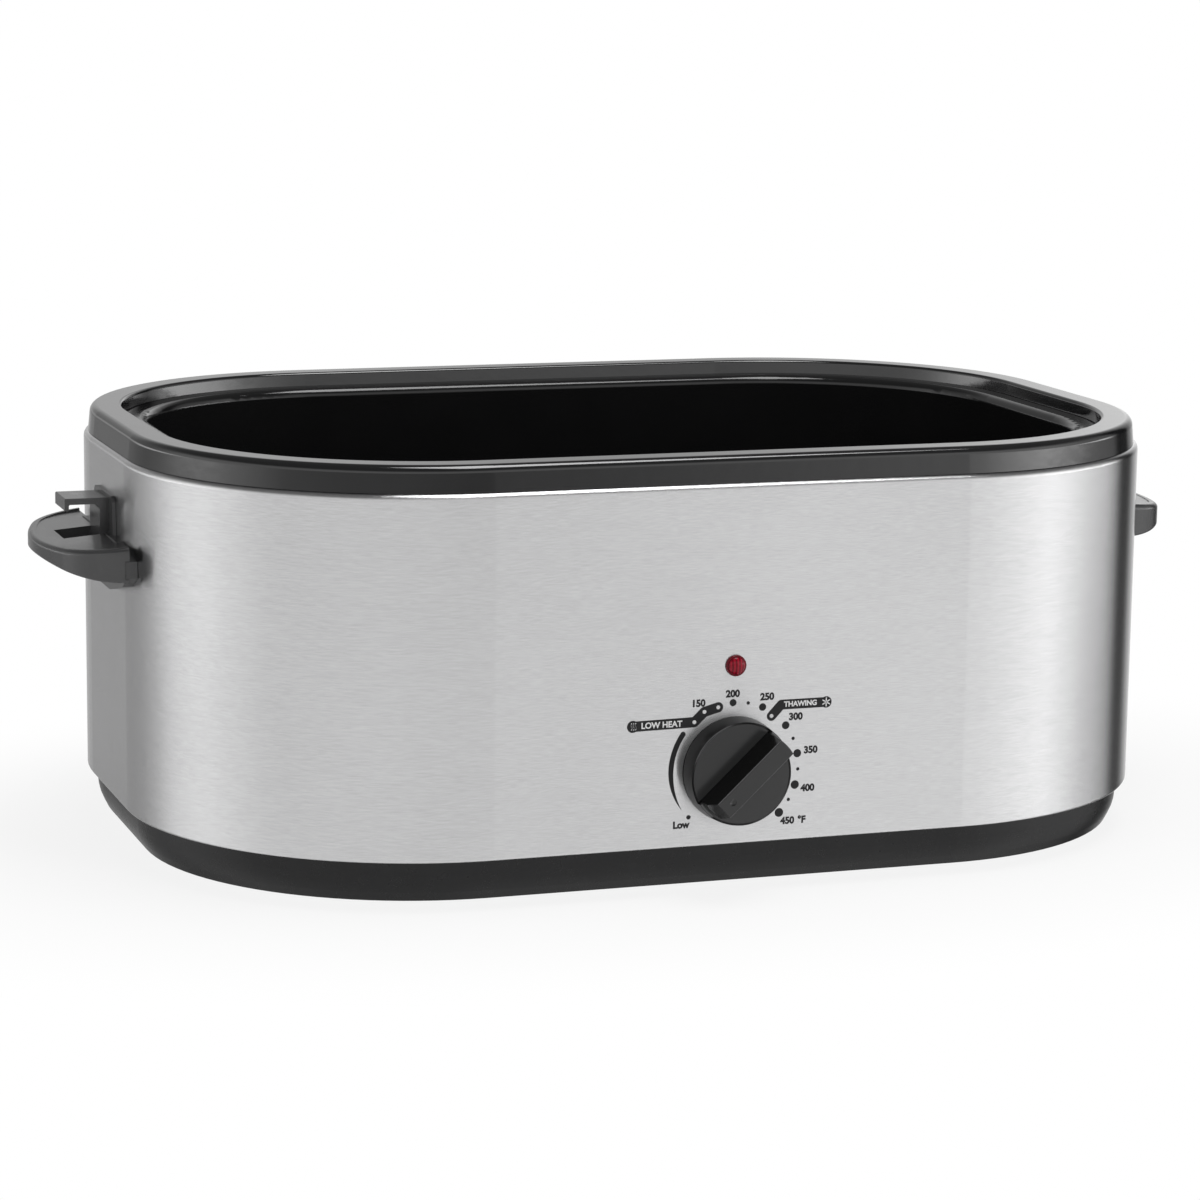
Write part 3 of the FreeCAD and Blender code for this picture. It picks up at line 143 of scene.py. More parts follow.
class Graph:
    """A node tree that is built through one method."""

    def __init__(self, owner: bpy.types.Material | bpy.types.World) -> None:
        """Start from an empty tree.

        Args:
            owner: The material or the world that the tree belongs to.
        """
        owner.use_nodes = True
        self.tree = owner.node_tree
        self.tree.nodes.clear()

    def add(
        self,
        kind: str,
        settings: dict[str, Any] | None = None,
        sockets: dict[int | str, Any] | None = None,
        output: int | str = 0,
    ) -> Value:
        """Add one node.

        Args:
            kind: The node's type.
            settings: The node's own properties, set before its sockets. The key
                "stops" holds a ramp's (place, colour) pairs.
            sockets: The values or links of its sockets, by name or number.
            output: Which output to hand back.

        Returns:
            The chosen output, or an empty value where the node has none.
        """
        node = self.tree.nodes.new(kind)
        for name, value in (settings or {}).items():
            if name == "stops":
                self._set_stops(node.color_ramp, value)
            else:
                setattr(node, name, value)
        for name, value in (sockets or {}).items():
            if isinstance(value, Value):
                self.tree.links.new(value.socket, node.inputs[name])
            else:
                node.inputs[name].default_value = value
        return Value(self, node.outputs[output] if len(node.outputs) else None)

    @staticmethod
    def _set_stops(ramp: bpy.types.ColorRamp, stops: list[tuple[float, Any]]) -> None:
        """Give a ramp its stops in order, where a number stands for a grey."""
        while len(ramp.elements) < len(stops):
            ramp.elements.new(1.0)
        for element, (place, colour) in zip(ramp.elements, stops):
            element.position = place
            element.color = (colour,) * 3 + (1.0,) if isinstance(colour, float) else colour

    def place(self, stretch: Point = (1.0, 1.0, 1.0)) -> Value:
        """The point on the piece, with each axis multiplied by its own number."""
        where = self.add("ShaderNodeTexCoord", output="Object")
        return self.add("ShaderNodeMapping", sockets={"Vector": where, "Scale": stretch})

    def axes(self, coordinates: str = "Object") -> list[Value]:
        """The x, y and z of the point on the piece, or of other coordinates."""
        where = {"Vector": self.add("ShaderNodeTexCoord", output=coordinates)}
        return [self.add("ShaderNodeSeparateXYZ", sockets=where, output=axis) for axis in "XYZ"]

    def noise(self, where: Value, scale: float, detail: float = 2.0, rough: float = 0.5) -> Value:
        """Noise from 0 to 1, with its features to the unit and its finer layers."""
        sockets = {"Vector": where, "Scale": scale, "Detail": detail, "Roughness": rough}
        return self.add("ShaderNodeTexNoise", sockets=sockets)

    def cells(
        self, where: Value, size: float, kind: Cells = Cells.CRISP, output: str = "Distance"
    ) -> Value:
        """A pattern of cells of this size, read at a point."""
        sockets = {"Vector": where, "Scale": 1 / size}
        return self.add("ShaderNodeTexVoronoi", {"feature": kind.value}, sockets, output)

    def blend(self, share: Number, first: Any, second: Any) -> Value:
        """Mix two colours, given in three numbers or as a link, with this share of the second."""
        sockets = {0: share, 6: opaque(first), 7: opaque(second)}
        return self.add("ShaderNodeMix", {"data_type": "RGBA"}, sockets, 2)

    def relief(self, height: Value, depth: float, strength: float = 1.0) -> Value:
        """Turn a height from 0 to 1 into a bumped normal of this depth in metres."""
        sockets = {"Height": height, "Distance": depth, "Strength": strength}
        return self.add("ShaderNodeBump", sockets=sockets)

    def surface(self, sockets: dict[int | str, Any]) -> Value:
        """The Principled shader with these sockets."""
        return self.add("ShaderNodeBsdfPrincipled", sockets=sockets)

    def share_out(self, share: Value, first: Value, second: Value) -> Value:
        """Mix two shaders, with this share of the second."""
        return self.add("ShaderNodeMixShader", sockets={0: share, 1: first, 2: second})

    def finish(self, shader: Value, kind: str = "ShaderNodeOutputMaterial") -> None:
        """Lead a shader to the output."""
        self.add(kind, sockets={"Surface": shader})


def opaque(colour: Any) -> Any:
    """A colour with its alpha, or a link as it is."""
    return colour if isinstance(colour, Value) else (*colour[:3], 1.0)


# ---- finishes
@dataclass(frozen=True)
class Finish:
    """What one kind of surface looks like."""

    name: str
    colour: Colour

    def dress(self, graph: Graph) -> Value:
        """Build the surface's shader in its material's graph."""
        raise NotImplementedError

    def tone(self, factor: float, lift: float = 0.0) -> Colour:
        """The finish's colour, with each channel multiplied by a factor and then lifted."""
        return tuple(factor * channel + lift for channel in self.colour)

    @cache
    def material(self) -> bpy.types.Material:
        """Make the material once and then keep it.

        Returns:
            The material.
        """
        made = bpy.data.materials.new(self.name + "_finish")
        graph = Graph(made)
        graph.finish(self.dress(graph))
        return made


@dataclass(frozen=True)
class BrushedSteel(Finish):
    """Stainless sheet that was brushed along its length."""

    grain_length: float = 6 * MM
    grain_width: float = 0.5 * MM
    roughness: float = 0.24
    anisotropy: float = 0.94
    scratch: float = 0.003 * MM

    def dress(self, graph: Graph) -> Value:
        """Long fine scratches that run level round the body."""
        along = 1 / self.grain_length
        across = 1 / self.grain_width
        grain = graph.noise(graph.place((along, along, across)), 1.0, detail=3.0, rough=0.62)
        broad = graph.noise(graph.place((along / 3, along / 3, across / 9)), 1.0)
        clouds = graph.noise(graph.place(), scale=9.0)
        shade = grain * 0.6 + broad * 0.15 + clouds * 0.25
        return graph.surface({
            "Base Color": graph.blend(shade.ramp(0.25, 0.75), self.tone(0.91), self.tone(1.07)),
            "Metallic": 1.0,
            "Roughness": self.roughness - 0.02 + grain * 0.04,
            "Anisotropic": self.anisotropy,
            "Anisotropic Rotation": 0.25,
            "Normal": graph.relief(broad, self.scratch, strength=0.4),
        })


@dataclass(frozen=True)
class GlossEnamel(Finish):
    """Glassy enamel fired on steel, with the faint waves of a dipped coat."""

    roughness: float = 0.07
    wave: float = 6 * MM
    wave_depth: float = 0.05 * MM
    speck_gap: float = 2.2 * MM
    gleam: float = 0.5

    def dress(self, graph: Graph) -> Value:
        """Slow waves in the gloss, pinhead specks and a little dust."""
        here = graph.place()
        waves = graph.noise(here, 1 / self.wave, rough=0.4)
        specks = graph.cells(here, self.speck_gap).ramp(0.10, 0.04)
        haze = graph.noise(here, scale=35.0, detail=3.0)
        dust = specks * 0.35 + haze * 0.25
        return graph.surface({
            "Base Color": graph.blend(dust, self.colour, self.tone(1.8, lift=0.003)),
            "Roughness": self.roughness + haze * 0.05,
            "Specular IOR Level": self.gleam,
            "Normal": graph.relief(waves, self.wave_depth, strength=0.6),
        })


@dataclass(frozen=True)
class Moulding(Finish):
    """Satin plastic with the fine grain of an etched mould."""

    roughness: float = 0.42
    grain: float = 0.45 * MM
    depth: float = 0.012 * MM
    gleam: float = 0.35

    def texture(self, graph: Graph) -> tuple[Value, Value]:
        """The mould's pebbles, and the clouds that the plastic's flow left."""
        pebbles = graph.cells(graph.place(), self.grain, Cells.SOFT)
        return pebbles, graph.noise(graph.place(), scale=28.0, detail=3.0, rough=0.55)

    def dress(self, graph: Graph) -> Value:
        """Pebbled grain, flow clouds and rubbed high spots."""
        pebbles, flow = self.texture(graph)
        rub = graph.noise(graph.place(), scale=160.0).ramp(0.55, 0.8)
        wear = flow.ramp(0.3, 0.75) * 0.5 + rub * 0.2
        return graph.surface({
            "Base Color": graph.blend(wear, self.colour, self.tone(1.35, lift=0.006)),
            "Roughness": self.roughness + flow * 0.08 - rub * 0.05,
            "Specular IOR Level": self.gleam,
            "Normal": graph.relief(pebbles + flow * 0.4, self.depth, strength=0.8),
        })


@dataclass(frozen=True)
class KnobMoulding(Moulding):
    """The knob's plastic: flat-polished faces, painted shade on the bar and side, painted
    highlights on the edges and a cupped dimple.

    The knob's own depth runs from its back edge outwards, and its bar lies along the pointer,
    which is given in degrees clockwise from the top.
    """

    pointer: float = 227.0
    axis_z: float = KNOB_HEIGHT
    rise: float = 26.0 * MM
    skirt: float = 11.5 * MM
    rim: float = 24.9 * MM
    half_bar: float = 4.75 * MM
    dish: float = 0.24
    dimple_at: float = 13.9 * MM
    dimple: float = 1.7 * MM
    dimple_depth: float = 0.6 * MM
    side_roughness: float = 0.16
    side_gleam: float = 0.25
    # The share of the side's duller surface, whose colour is painted shade.
    side_share: float = 0.85

    def dress(self, graph: Graph) -> Value:
        """Plain satin faces beside a bar, with painted shade on its flanks and the knob's side and
        painted highlights on its edges.
        """
        x, y, above_table = graph.axes()
        z = above_table - self.axis_z
        turn = math.radians(self.pointer)
        along = x * math.sin(turn) + z * math.cos(turn)
        across = abs(x * math.cos(turn) - z * math.sin(turn))
        out = (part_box("control_knob")[0].y + self.rise) - y
        radius = (x * x + z * z) ** 0.5
        top = out.past(self.rise, -0.7, -0.4)
        beside = across.past(self.half_bar, -0.4, -0.2)
        # Painted shade: the bar's flanks are painted near black.
        painted_shade_flank = beside * across.past(self.half_bar, 0.2, 0.1) * (1 - top)
        # Painted highlight: a pale line along the bar's top edges.
        edge = beside * top
        # Painted highlight: a pale line round the rim of the face.
        lip = radius.past(self.rim, -1.1, -0.7) * out.past(self.skirt, -0.9, -0.4)
        face = across.past(self.half_bar, 0.0, 0.1) * radius.past(self.rim, -0.6, -0.8)
        face = face * out.past(self.skirt, -4.5, -4.3)
        # Painted shade: the knob's side gets a darker, duller surface.
        side = radius.past(self.rim, -0.6, -0.2) * out.past(self.skirt, -0.4, -1.0)
        spot = ((along - self.dimple_at) ** 2.0 + across * across) / self.dimple ** 2
        cup = (1 - spot).at_least(0.0)
        pebbles, flow = self.texture(graph)
        height = pebbles * self.depth - face * across * self.dish - cup * self.dimple_depth
        # A near black for painted shade, and a pale tone for painted highlights.
        painted_shade_black, pale, painted_highlight_tone = self.tone(0.08), self.tone(1.25, lift=0.004), self.tone(7.0)
        plain = graph.blend(flow.ramp(0.3, 0.75) * 0.6, self.colour, pale)
        # Painted highlights on the bar's top edges and the face's rim.
        with_painted_highlights = graph.blend((edge * 0.7).at_least(lip * 0.5), plain, painted_highlight_tone)
        normal = graph.relief(height, depth=1.0)
        glossy = graph.surface({
            # Painted shade: the bar's flanks in near black.
            "Base Color": graph.blend(painted_shade_flank, with_painted_highlights, painted_shade_black),
            "Roughness": self.roughness + flow * 0.05,
            "Specular IOR Level": self.gleam,
            "Normal": normal,
        })
        # The side's surface: painted shade in a near black, and duller.
        dull_side_in_painted_shade = graph.surface({
            "Base Color": graph.blend(flow * 0.4, painted_shade_black, self.colour),
            "Roughness": self.roughness + self.side_roughness + flow * 0.05,
            "Specular IOR Level": self.side_gleam * self.gleam,
            "Normal": normal,
        })
        return graph.share_out(side * self.side_share, glossy, dull_side_in_painted_shade)


@dataclass(frozen=True)
class ZincPlate(Finish):
    """Bright plated steel with a faint spangle."""

    spangle: float = 5 * MM
    roughness: float = 0.28

    def dress(self, graph: Graph) -> Value:
        """Flat crystals of slightly different greys, and fine handling marks."""
        here = graph.place()
        tint = graph.cells(here, self.spangle, output="Color")
        grey = graph.add("ShaderNodeRGBToBW", sockets={"Color": tint})
        marks = graph.noise(here, scale=900.0, detail=4.0, rough=0.7)
        bright = grey * 0.6 + marks * 0.3
        return graph.surface({
            "Base Color": graph.blend(bright, self.tone(0.78), self.colour),
            "Metallic": 1.0,
            "Roughness": self.roughness + grey * 0.10 + marks * 0.06,
            "Normal": graph.relief(marks, depth=0.01 * MM, strength=0.5),
        })


@dataclass(frozen=True)
class HeatedSteel(Finish):
    """Steel that has been hot, with straw and blue bands."""

    roughness: float = 0.38
    tempers: tuple[tuple[float, Any], ...] = (
        (0.30, (0.42, 0.40, 0.38, 1.0)),
        (0.48, (0.46, 0.36, 0.20, 1.0)),
        (0.60, (0.26, 0.20, 0.30, 1.0)),
        (0.72, (0.22, 0.26, 0.36, 1.0)),
    )

    def dress(self, graph: Graph) -> Value:
        """Temper colours that drift up the band."""
        drift = graph.noise(graph.place((1.0, 1.0, 4.0)), scale=9.0, detail=3.0, rough=0.6)
        tint = graph.add("ShaderNodeValToRGB", {"stops": self.tempers}, {"Fac": drift})
        fine = graph.noise(graph.place(), scale=1400.0, detail=3.0)
        return graph.surface({
            "Base Color": graph.blend(0.55, self.colour, tint),
            "Metallic": 1.0,
            "Roughness": self.roughness + drift * 0.12,
            "Normal": graph.relief(fine, depth=0.01 * MM, strength=0.5),
        })


@dataclass(frozen=True)
class GlassWool(Finish):
    """Pale fibres pressed into a blanket."""

    fibre: float = 1.2 * MM
    tuft_depth: float = 0.8 * MM

    def dress(self, graph: Graph) -> Value:
        """Tangled fibres that run mostly level, with deeper tufts and painted shade where they lie
        low.
        """
        fine = graph.noise(graph.place((1.0, 1.0, 4.0)), 1 / self.fibre, detail=5.0, rough=0.75)
        tufts = graph.noise(graph.place(), scale=70.0, detail=3.0, rough=0.6)
        # Painted shade: the wool is darker where its bumps lie low.
        painted_light_share = (fine * 0.6 + tufts * 0.4).ramp(0.3, 0.6)
        return graph.surface({
            "Base Color": graph.blend(painted_light_share, self.tone(0.55), self.colour),
            "Roughness": 0.95,
            "Sheen Weight": 0.3,
            "Normal": graph.relief(fine * 0.5 + tufts, self.tuft_depth, strength=0.9),
        })


@dataclass(frozen=True)
class FiredClay(Finish):
    """Unglazed ceramic with a sandy grain."""

    def dress(self, graph: Graph) -> Value:
        """Fine pits and faint kiln stains."""
        here = graph.place()
        sand = graph.noise(here, scale=2600.0, detail=4.0, rough=0.7)
        stain = graph.noise(here, scale=130.0).ramp(0.45, 0.8)
        return graph.surface({
            "Base Color": graph.blend(stain * 0.5 + sand * 0.3, self.colour, self.tone(0.72)),
            "Roughness": 0.70 + sand * 0.15,
            "Normal": graph.relief(sand, depth=0.05 * MM, strength=0.7),
        })


@dataclass(frozen=True)
class DrawnMetal(Finish):
    """Copper or brass with draw lines and a thin tarnish."""

    def dress(self, graph: Graph) -> Value:
        """Darker tarnish in clouds over bright metal."""
        tarnish = graph.noise(graph.place(), scale=220.0, detail=4.0, rough=0.65).ramp(0.4, 0.75)
        lines = graph.noise(graph.place((40.0, 2500.0, 2500.0)), 1.0)
        return graph.surface({
            "Base Color": graph.blend(tarnish * 0.6, self.colour, self.tone(0.55)),
            "Metallic": 1.0,
            "Roughness": 0.24 + tarnish * 0.22,
            "Normal": graph.relief(lines, depth=0.01 * MM, strength=0.4),
        })


@dataclass(frozen=True)
class BraidedSleeve(Finish):
    """Woven glass sleeve on a hot wire."""

    pitch: float = 1.1 * MM
    weave_depth: float = 0.25 * MM

    def dress(self, graph: Graph) -> Value:
        """Crossing strands with shade between them."""
        here = graph.place()
        strands = graph.cells(here, self.pitch, Cells.SOFT)
        dirt = graph.noise(here, scale=90.0)
        return graph.surface({
            "Base Color": graph.blend(strands * 0.8 + dirt * 0.2, self.colour, self.tone(0.5)),
            "Roughness": 0.75 + dirt * 0.1,
            "Normal": graph.relief(1 - strands, self.weave_depth, strength=0.8),
        })


@dataclass(frozen=True)
class Rubber(Finish):
    """Black rubber with a chalky bloom."""

    def dress(self, graph: Graph) -> Value:
        """Fine grain with pale bloom where it has been handled."""
        here = graph.place()
        bloom = graph.noise(here, scale=120.0, detail=4.0, rough=0.6).ramp(0.45, 0.85)
        grain = graph.noise(here, scale=3000.0)
        return graph.surface({
            "Base Color": graph.blend(bloom * 0.6, self.colour, self.tone(1.0, lift=0.05)),
            "Roughness": 0.68 + bloom * 0.15,
            "Normal": graph.relief(grain, depth=0.02 * MM, strength=0.6),
        })


@dataclass(frozen=True)
class LampGlass(Finish):
    """Clear glass of a small lamp."""

    warm: Colour = (0.98, 0.96, 0.92)

    def dress(self, graph: Graph) -> Value:
        """Nearly clear, with the slight waves of drawn glass."""
        waves = graph.noise(graph.place(), scale=500.0)
        return graph.surface({
            "Base Color": graph.blend(waves, self.colour, self.warm),
            "Roughness": 0.03 + waves * 0.03,
            "Transmission Weight": 0.85,
            "Normal": graph.relief(waves, depth=0.03 * MM, strength=0.4),
        })


@dataclass(frozen=True)
class RubyPlastic(Finish):
    """Clear dark red plastic whose back is cut into upright prisms."""

    pitch: float = 1.7 * MM
    phase: float = 0.8
    prism_depth: float = 0.12 * MM
    centre: Spot = (0.0, 0.0)
    radius: float = 4.2 * MM
    # Painted light: the lighter red of the prism bars.
    bright: Colour = (0.50, 0.012, 0.035)

    def dress(self, graph: Graph) -> Value:
        """Painted light: lighter and darker red bars, for the light that the prisms bend, inside a
        plain ring.
        """
        x, _, z = graph.axes()
        x, z = x - self.centre[0], z - self.centre[1]
        bars = (x * (math.tau / self.pitch) + self.phase).sine() * 0.5 + 0.5
        away = (x * x + z * z) ** 0.5
        # Painted light: lighter red in bars, where the prisms bend the light.
        prisms = bars * away.ramp(self.radius, 0.9 * self.radius)
        cloud = graph.noise(graph.place(), scale=700.0)
        return graph.surface({
            "Base Color": graph.blend(prisms * 0.7 + cloud * 0.2, self.colour, self.bright),
            "Roughness": 0.10 + cloud * 0.05,
            "Specular IOR Level": 0.22,
            "Normal": graph.relief(prisms, self.prism_depth, strength=0.5),
        })


@dataclass(frozen=True)
class PrintedInk(Finish):
    """Screen-printed ink with a slightly uneven coat."""

    def dress(self, graph: Graph) -> Value:
        """A thin coat whose gloss wanders."""
        coat = graph.noise(graph.place(), scale=1500.0, detail=3.0)
        return graph.surface({
            "Base Color": graph.blend(coat * 0.5, self.colour, self.tone(1.3, lift=0.01)),
            "Roughness": 0.42 + coat * 0.12,
            "Specular IOR Level": 0.3,
            "Normal": graph.relief(coat, depth=0.004 * MM, strength=0.4),
        })


SHELL_STEEL = BrushedSteel("shell_steel", (0.64, 0.64, 0.645))
HANDLE_PLASTIC = Moulding("handle_plastic", (0.044, 0.044, 0.045), roughness=0.20, gleam=0.7)
LENS_RED = (0.11, 0.002, 0.008)
DARK_INK = PrintedInk("dark_ink", (0.010, 0.010, 0.011))
PALE_INK = PrintedInk("pale_ink", (0.86, 0.86, 0.86))
NODE_FINISHES = {
    "outer_shell": SHELL_STEEL,
    "cooking_well": GlossEnamel("rim_enamel", (0.008, 0.008, 0.0085), gleam=0.8),
    "roasting_pan": GlossEnamel("pan_enamel", (0.0072, 0.0072, 0.0074), roughness=0.10),
    "base_skirt": Moulding("base_plastic", (0.007, 0.007, 0.0075), roughness=0.24, gleam=0.32),
    "control_knob": KnobMoulding(
        "knob_plastic", (0.022, 0.022, 0.0225), roughness=0.15, grain=0.3 * MM,
        depth=0.004 * MM, gleam=0.50,
    ),
    "left_handle": HANDLE_PLASTIC,
    "right_handle": HANDLE_PLASTIC,
    "indicator_lens": RubyPlastic("lens_red_solid", LENS_RED),
}
SLOT_FINISHES = {finish.name: finish for finish in (
    Moulding("gland_plastic", (0.02, 0.02, 0.02), roughness=0.5),
    Moulding("thermostat_plastic", (0.05, 0.028, 0.016), roughness=0.25),
    ZincPlate("plate_steel", (0.56, 0.57, 0.58), spangle=9 * MM, roughness=0.34),
    ZincPlate("fastener_steel", (0.60, 0.60, 0.61), spangle=1.5 * MM),
    HeatedSteel("heater_steel", (0.45, 0.44, 0.42)),
    GlassWool("insulation", (0.80, 0.76, 0.58)),
    FiredClay("bead_ceramic", (0.80, 0.77, 0.70)),
    DrawnMetal("brass_terminals", (0.78, 0.60, 0.30)),
    DrawnMetal("copper_tube", (0.80, 0.42, 0.27)),
    BraidedSleeve("wire_sleeve", (0.66, 0.64, 0.58)),
    Rubber("foot_rubber", (0.02, 0.02, 0.02)),
    LampGlass("lamp_glass", (0.9, 0.88, 0.84)),
)}


# ---- mesh helpers
def to_scene(name: str, data: bpy.types.ID) -> bpy.types.Object:
    """Make an object and link it to the scene.

    Args:
        name: The object's name.
        data: Its mesh, camera or light.

    Returns:
        The object.
    """
    made = bpy.data.objects.new(name, data)
    bpy.context.scene.collection.objects.link(made)
    return made


def start_piece(
    name: str, mesh: bpy.types.Mesh, finish: Finish, body: str
) -> bpy.types.Object:
    """Make a finished piece of a mesh that is already in its place.

    Args:
        name: The piece's name.
        mesh: Its mesh, in the part's frame.
        finish: What it looks like.
        body: The body that it rides on.

    Returns:
        The piece.
    """
    mesh.materials.clear()
    mesh.materials.append(finish.material())
    piece = to_scene(name, mesh)
    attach(piece, body)
    LOG.info("%s: %d faces on %s", name, len(mesh.polygons), body)
    return piece


def to_mesh(name: str, bm: bmesh.types.BMesh) -> bpy.types.Mesh:
    """Close a bmesh into a mesh whose faces point outwards.

    Args:
        name: The mesh's name.
        bm: The bmesh, which is freed.

    Returns:
        The mesh.
    """
    bmesh.ops.remove_doubles(bm, verts=bm.verts, dist=MERGE_DISTANCE)
    bmesh.ops.recalc_face_normals(bm, faces=bm.faces)
    mesh = bpy.data.meshes.new(name)
    bm.to_mesh(mesh)
    bm.free()
    return mesh


def smooth(mesh: bpy.types.Mesh, angle: float = 40.0) -> None:
    """Shade a mesh smoothly, but not over edges sharper than an angle in degrees."""
    mesh.shade_smooth()
    mesh.set_sharp_from_angle(angle=math.radians(angle))


def upright(x: float, y: float, z: float) -> Matrix:
    """Turn a drawing in XY to face the front, with its origin at a point."""
    return Matrix.Translation((x, y, z)) @ Matrix.Rotation(math.pi / 2, 4, "X")


# ---- printed dial
class Coat(Enum):
    """A coat of ink, counted from the steel outwards."""

    FIRST = 0
    SECOND = 1


@dataclass(frozen=True)
class Pill:
    """A bent dark pill whose head is given in x and z from the dial's middle.

    Its word is centred between the head and the first bend, but for a shift to the side.
    """

    name: str
    head: Spot
    width: float
    word: str
    lettering: float
    stroke: float
    shift: float


@dataclass
class DialPrint:
    """The scale printed on the shell round the knob.

    Angles are in degrees clockwise from the top, bends are x and z from the dial's middle,
    and coats lie a number of ink thicknesses apart.
    """

    centre_x: float = 0.4 * MM
    centre_z: float = KNOB_HEIGHT
    thickness: float = 0.03 * MM
    overlap_step: float = 0.008 * MM
    coat_pitch: float = 1.4

    ring: float = 32.4 * MM
    inset: float = 0.6 * MM
    per_fifty: float = 27.4
    at_two_hundred: float = -2.5
    at_lowest: float = 226.2
    big_dot: float = 1.75 * MM
    big_dot_growth: float = 0.25
    small_dot: float = 0.85 * MM
    lowest_dot: float = 1.1 * MM
    pale_dot: float = 0.95 * MM
    dot_sides: int = 36

    lettering: float = 4.65 * MM
    stroke: float = 0.24 * MM
    number_gap: float = 4.1 * MM
    number_side_gap: float = 2.9 * MM
    unit_gap: float = 7.3 * MM
    lowest_gap: float = 4.6 * MM

    swell_from: float = 236.0
    swell_to: float = 305.0
    swell_radius: float = 32.2 * MM
    swell_width: float = 2.6 * MM
    swell_tip: float = 0.06
    swell_full_at: float = 0.6
    swell_steps: int = 40

    head_share: float = 0.58
    bar_sides: int = 32
    warming: Pill = Pill(
        "warming", (-51.6 * MM, 23.6 * MM), 5.0 * MM,
        "LOW HEAT", lettering=4.0 * MM, stroke=0.13 * MM, shift=-1.0 * MM,
    )
    warming_heats: tuple[float, float, float] = (130, 152, 175)
    warming_bulge: float = 0.4 * MM
    thawing: Pill = Pill(
        "thawing", (46.2 * MM, 30.0 * MM), 4.8 * MM,
        "THAWING", lettering=3.5 * MM, stroke=0.14 * MM, shift=-1.7 * MM,
    )
    thawing_heat: float = 271
    thawing_inset: float = 1.6 * MM
    thawing_bend: Spot = (23.2 * MM, 30.0 * MM)

    steam_shift: float = 0.4 * MM
    steam_pitch: float = 1.05 * MM
    steam_height: float = 3.0 * MM
    steam_sway: float = 0.32 * MM
    steam_stroke: float = 0.46 * MM
    steam_steps: int = 8
    snow_arm: float = 2.0 * MM
    snow_stroke: float = 0.55 * MM

    def __post_init__(self) -> None:
        """Find the shell's front face."""
        self.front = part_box("outer_shell")[0].y

    def from_middle(self, offset: Spot) -> Spot:
        """The x and z of a place that is given from the dial's middle."""
        return (self.centre_x + offset[0], self.centre_z + offset[1])

    def spot(self, angle: float, radius: float) -> Spot:
        """The x and z of a place on the dial, given by its angle and its radius."""
        turn = math.radians(angle)
        return self.from_middle((radius * math.sin(turn), radius * math.cos(turn)))

    def heat(self, degrees: float) -> float:
        """Where a temperature lies, clockwise from the top."""
        return self.at_two_hundred + (degrees - 200) / 50 * self.per_fifty

    def disc(self, bm: bmesh.types.BMesh, spot: Spot, radius: float, step: int = 0) -> None:
        """Add a round dot to a drawing, steps higher than the bars that it overlaps."""
        made = bmesh.ops.create_cone(
            bm, cap_ends=True, segments=self.dot_sides, radius1=radius, radius2=radius,
            depth=self.thickness + step * self.overlap_step,
            matrix=Matrix.Translation((*spot, 0)),
        )
        bmesh.ops.recalc_face_normals(
            bm, faces=list({face for vert in made["verts"] for face in vert.link_faces})
        )

    def bar(
        self, bm: bmesh.types.BMesh, start: Spot, end: Spot, width: float, step: int = 0
    ) -> None:
        """Add a straight bar with round ends to a drawing.

        Args:
            bm: The drawing.
            start: The middle of one round end.
            end: The middle of the other.
            width: The bar's width.
            step: How many steps it stands over the bars that it overlaps.
        """
        verts = []
        for spot in (start, end):
            made = bmesh.ops.create_cone(
                bm, cap_ends=False, segments=self.bar_sides, radius1=width / 2,
                radius2=width / 2, depth=self.thickness + step * self.overlap_step,
                matrix=Matrix.Translation((*spot, 0)),
            )
            verts += made["verts"]
        sides = {face for vert in verts for face in vert.link_faces}
        bmesh.ops.delete(bm, geom=list(sides), context="FACES_KEEP_BOUNDARY")
        made = bmesh.ops.convex_hull(bm, input=verts)
        bmesh.ops.delete(bm, geom=made["geom_interior"], context="VERTS")

    def ink(
        self, name: str, bm: bmesh.types.BMesh, finish: Finish, coat: Coat = Coat.FIRST
    ) -> None:
        """Print a drawing on the shell.

        Args:
            name: The piece's name.
            bm: The drawing, in XY.
            finish: The ink.
            coat: The coat that it is printed in.
        """
        mesh = to_mesh(name, bm)
        half_sunk = (0.5 + self.coat_pitch * coat.value) * self.thickness
        mesh.transform(upright(0, self.front - half_sunk, 0))
        start_piece(name, mesh, finish, "base")

    def words(
        self, name: str, labels: list[tuple[str, Spot]], finish: Finish, size: float,
        bold: float, coat: Coat = Coat.FIRST,
    ) -> None:
        """Print several words as one piece.

        Args:
            name: The piece's name.
            labels: Each word with the place of its middle.
            finish: The ink.
            size: The letters' size.
            bold: How far the strokes are swollen.
            coat: The coat that they are printed in.
        """
        bm = bmesh.new()
        for text, spot in labels:
            curve = bpy.data.curves.new(name + "_letters", "FONT")
            curve.body = text
            curve.size = size
            curve.align_x = "CENTER"
            curve.align_y = "CENTER"
            curve.offset = bold
            curve.extrude = self.thickness / 2
            curve.resolution_u = 6
            holder = bpy.data.objects.new(name + "_letters", curve)
            mesh = bpy.data.meshes.new_from_object(holder)
            mesh.transform(Matrix.Translation((*spot, 0)))
            bm.from_mesh(mesh)
            bpy.data.objects.remove(holder)
            bpy.data.curves.remove(curve)
            bpy.data.meshes.remove(mesh)
        self.ink(name, bm, finish, coat)

    def dots(self) -> None:
        """Large dots on the fifties, small ones between them and one at the lowest setting."""
        bm = bmesh.new()
        for degrees in range(200, 451, 50):
            grow = 1.0 + self.big_dot_growth * (degrees - 200) / 250
            self.disc(bm, self.spot(self.heat(degrees), self.ring), self.big_dot * grow)
        for degrees in (225, 325, 375, 425):
            self.disc(bm, self.spot(self.heat(degrees), self.ring), self.small_dot)
        self.disc(bm, self.spot(self.at_lowest, self.ring - self.inset), self.lowest_dot)
        self.ink("dial_dots", bm, DARK_INK)

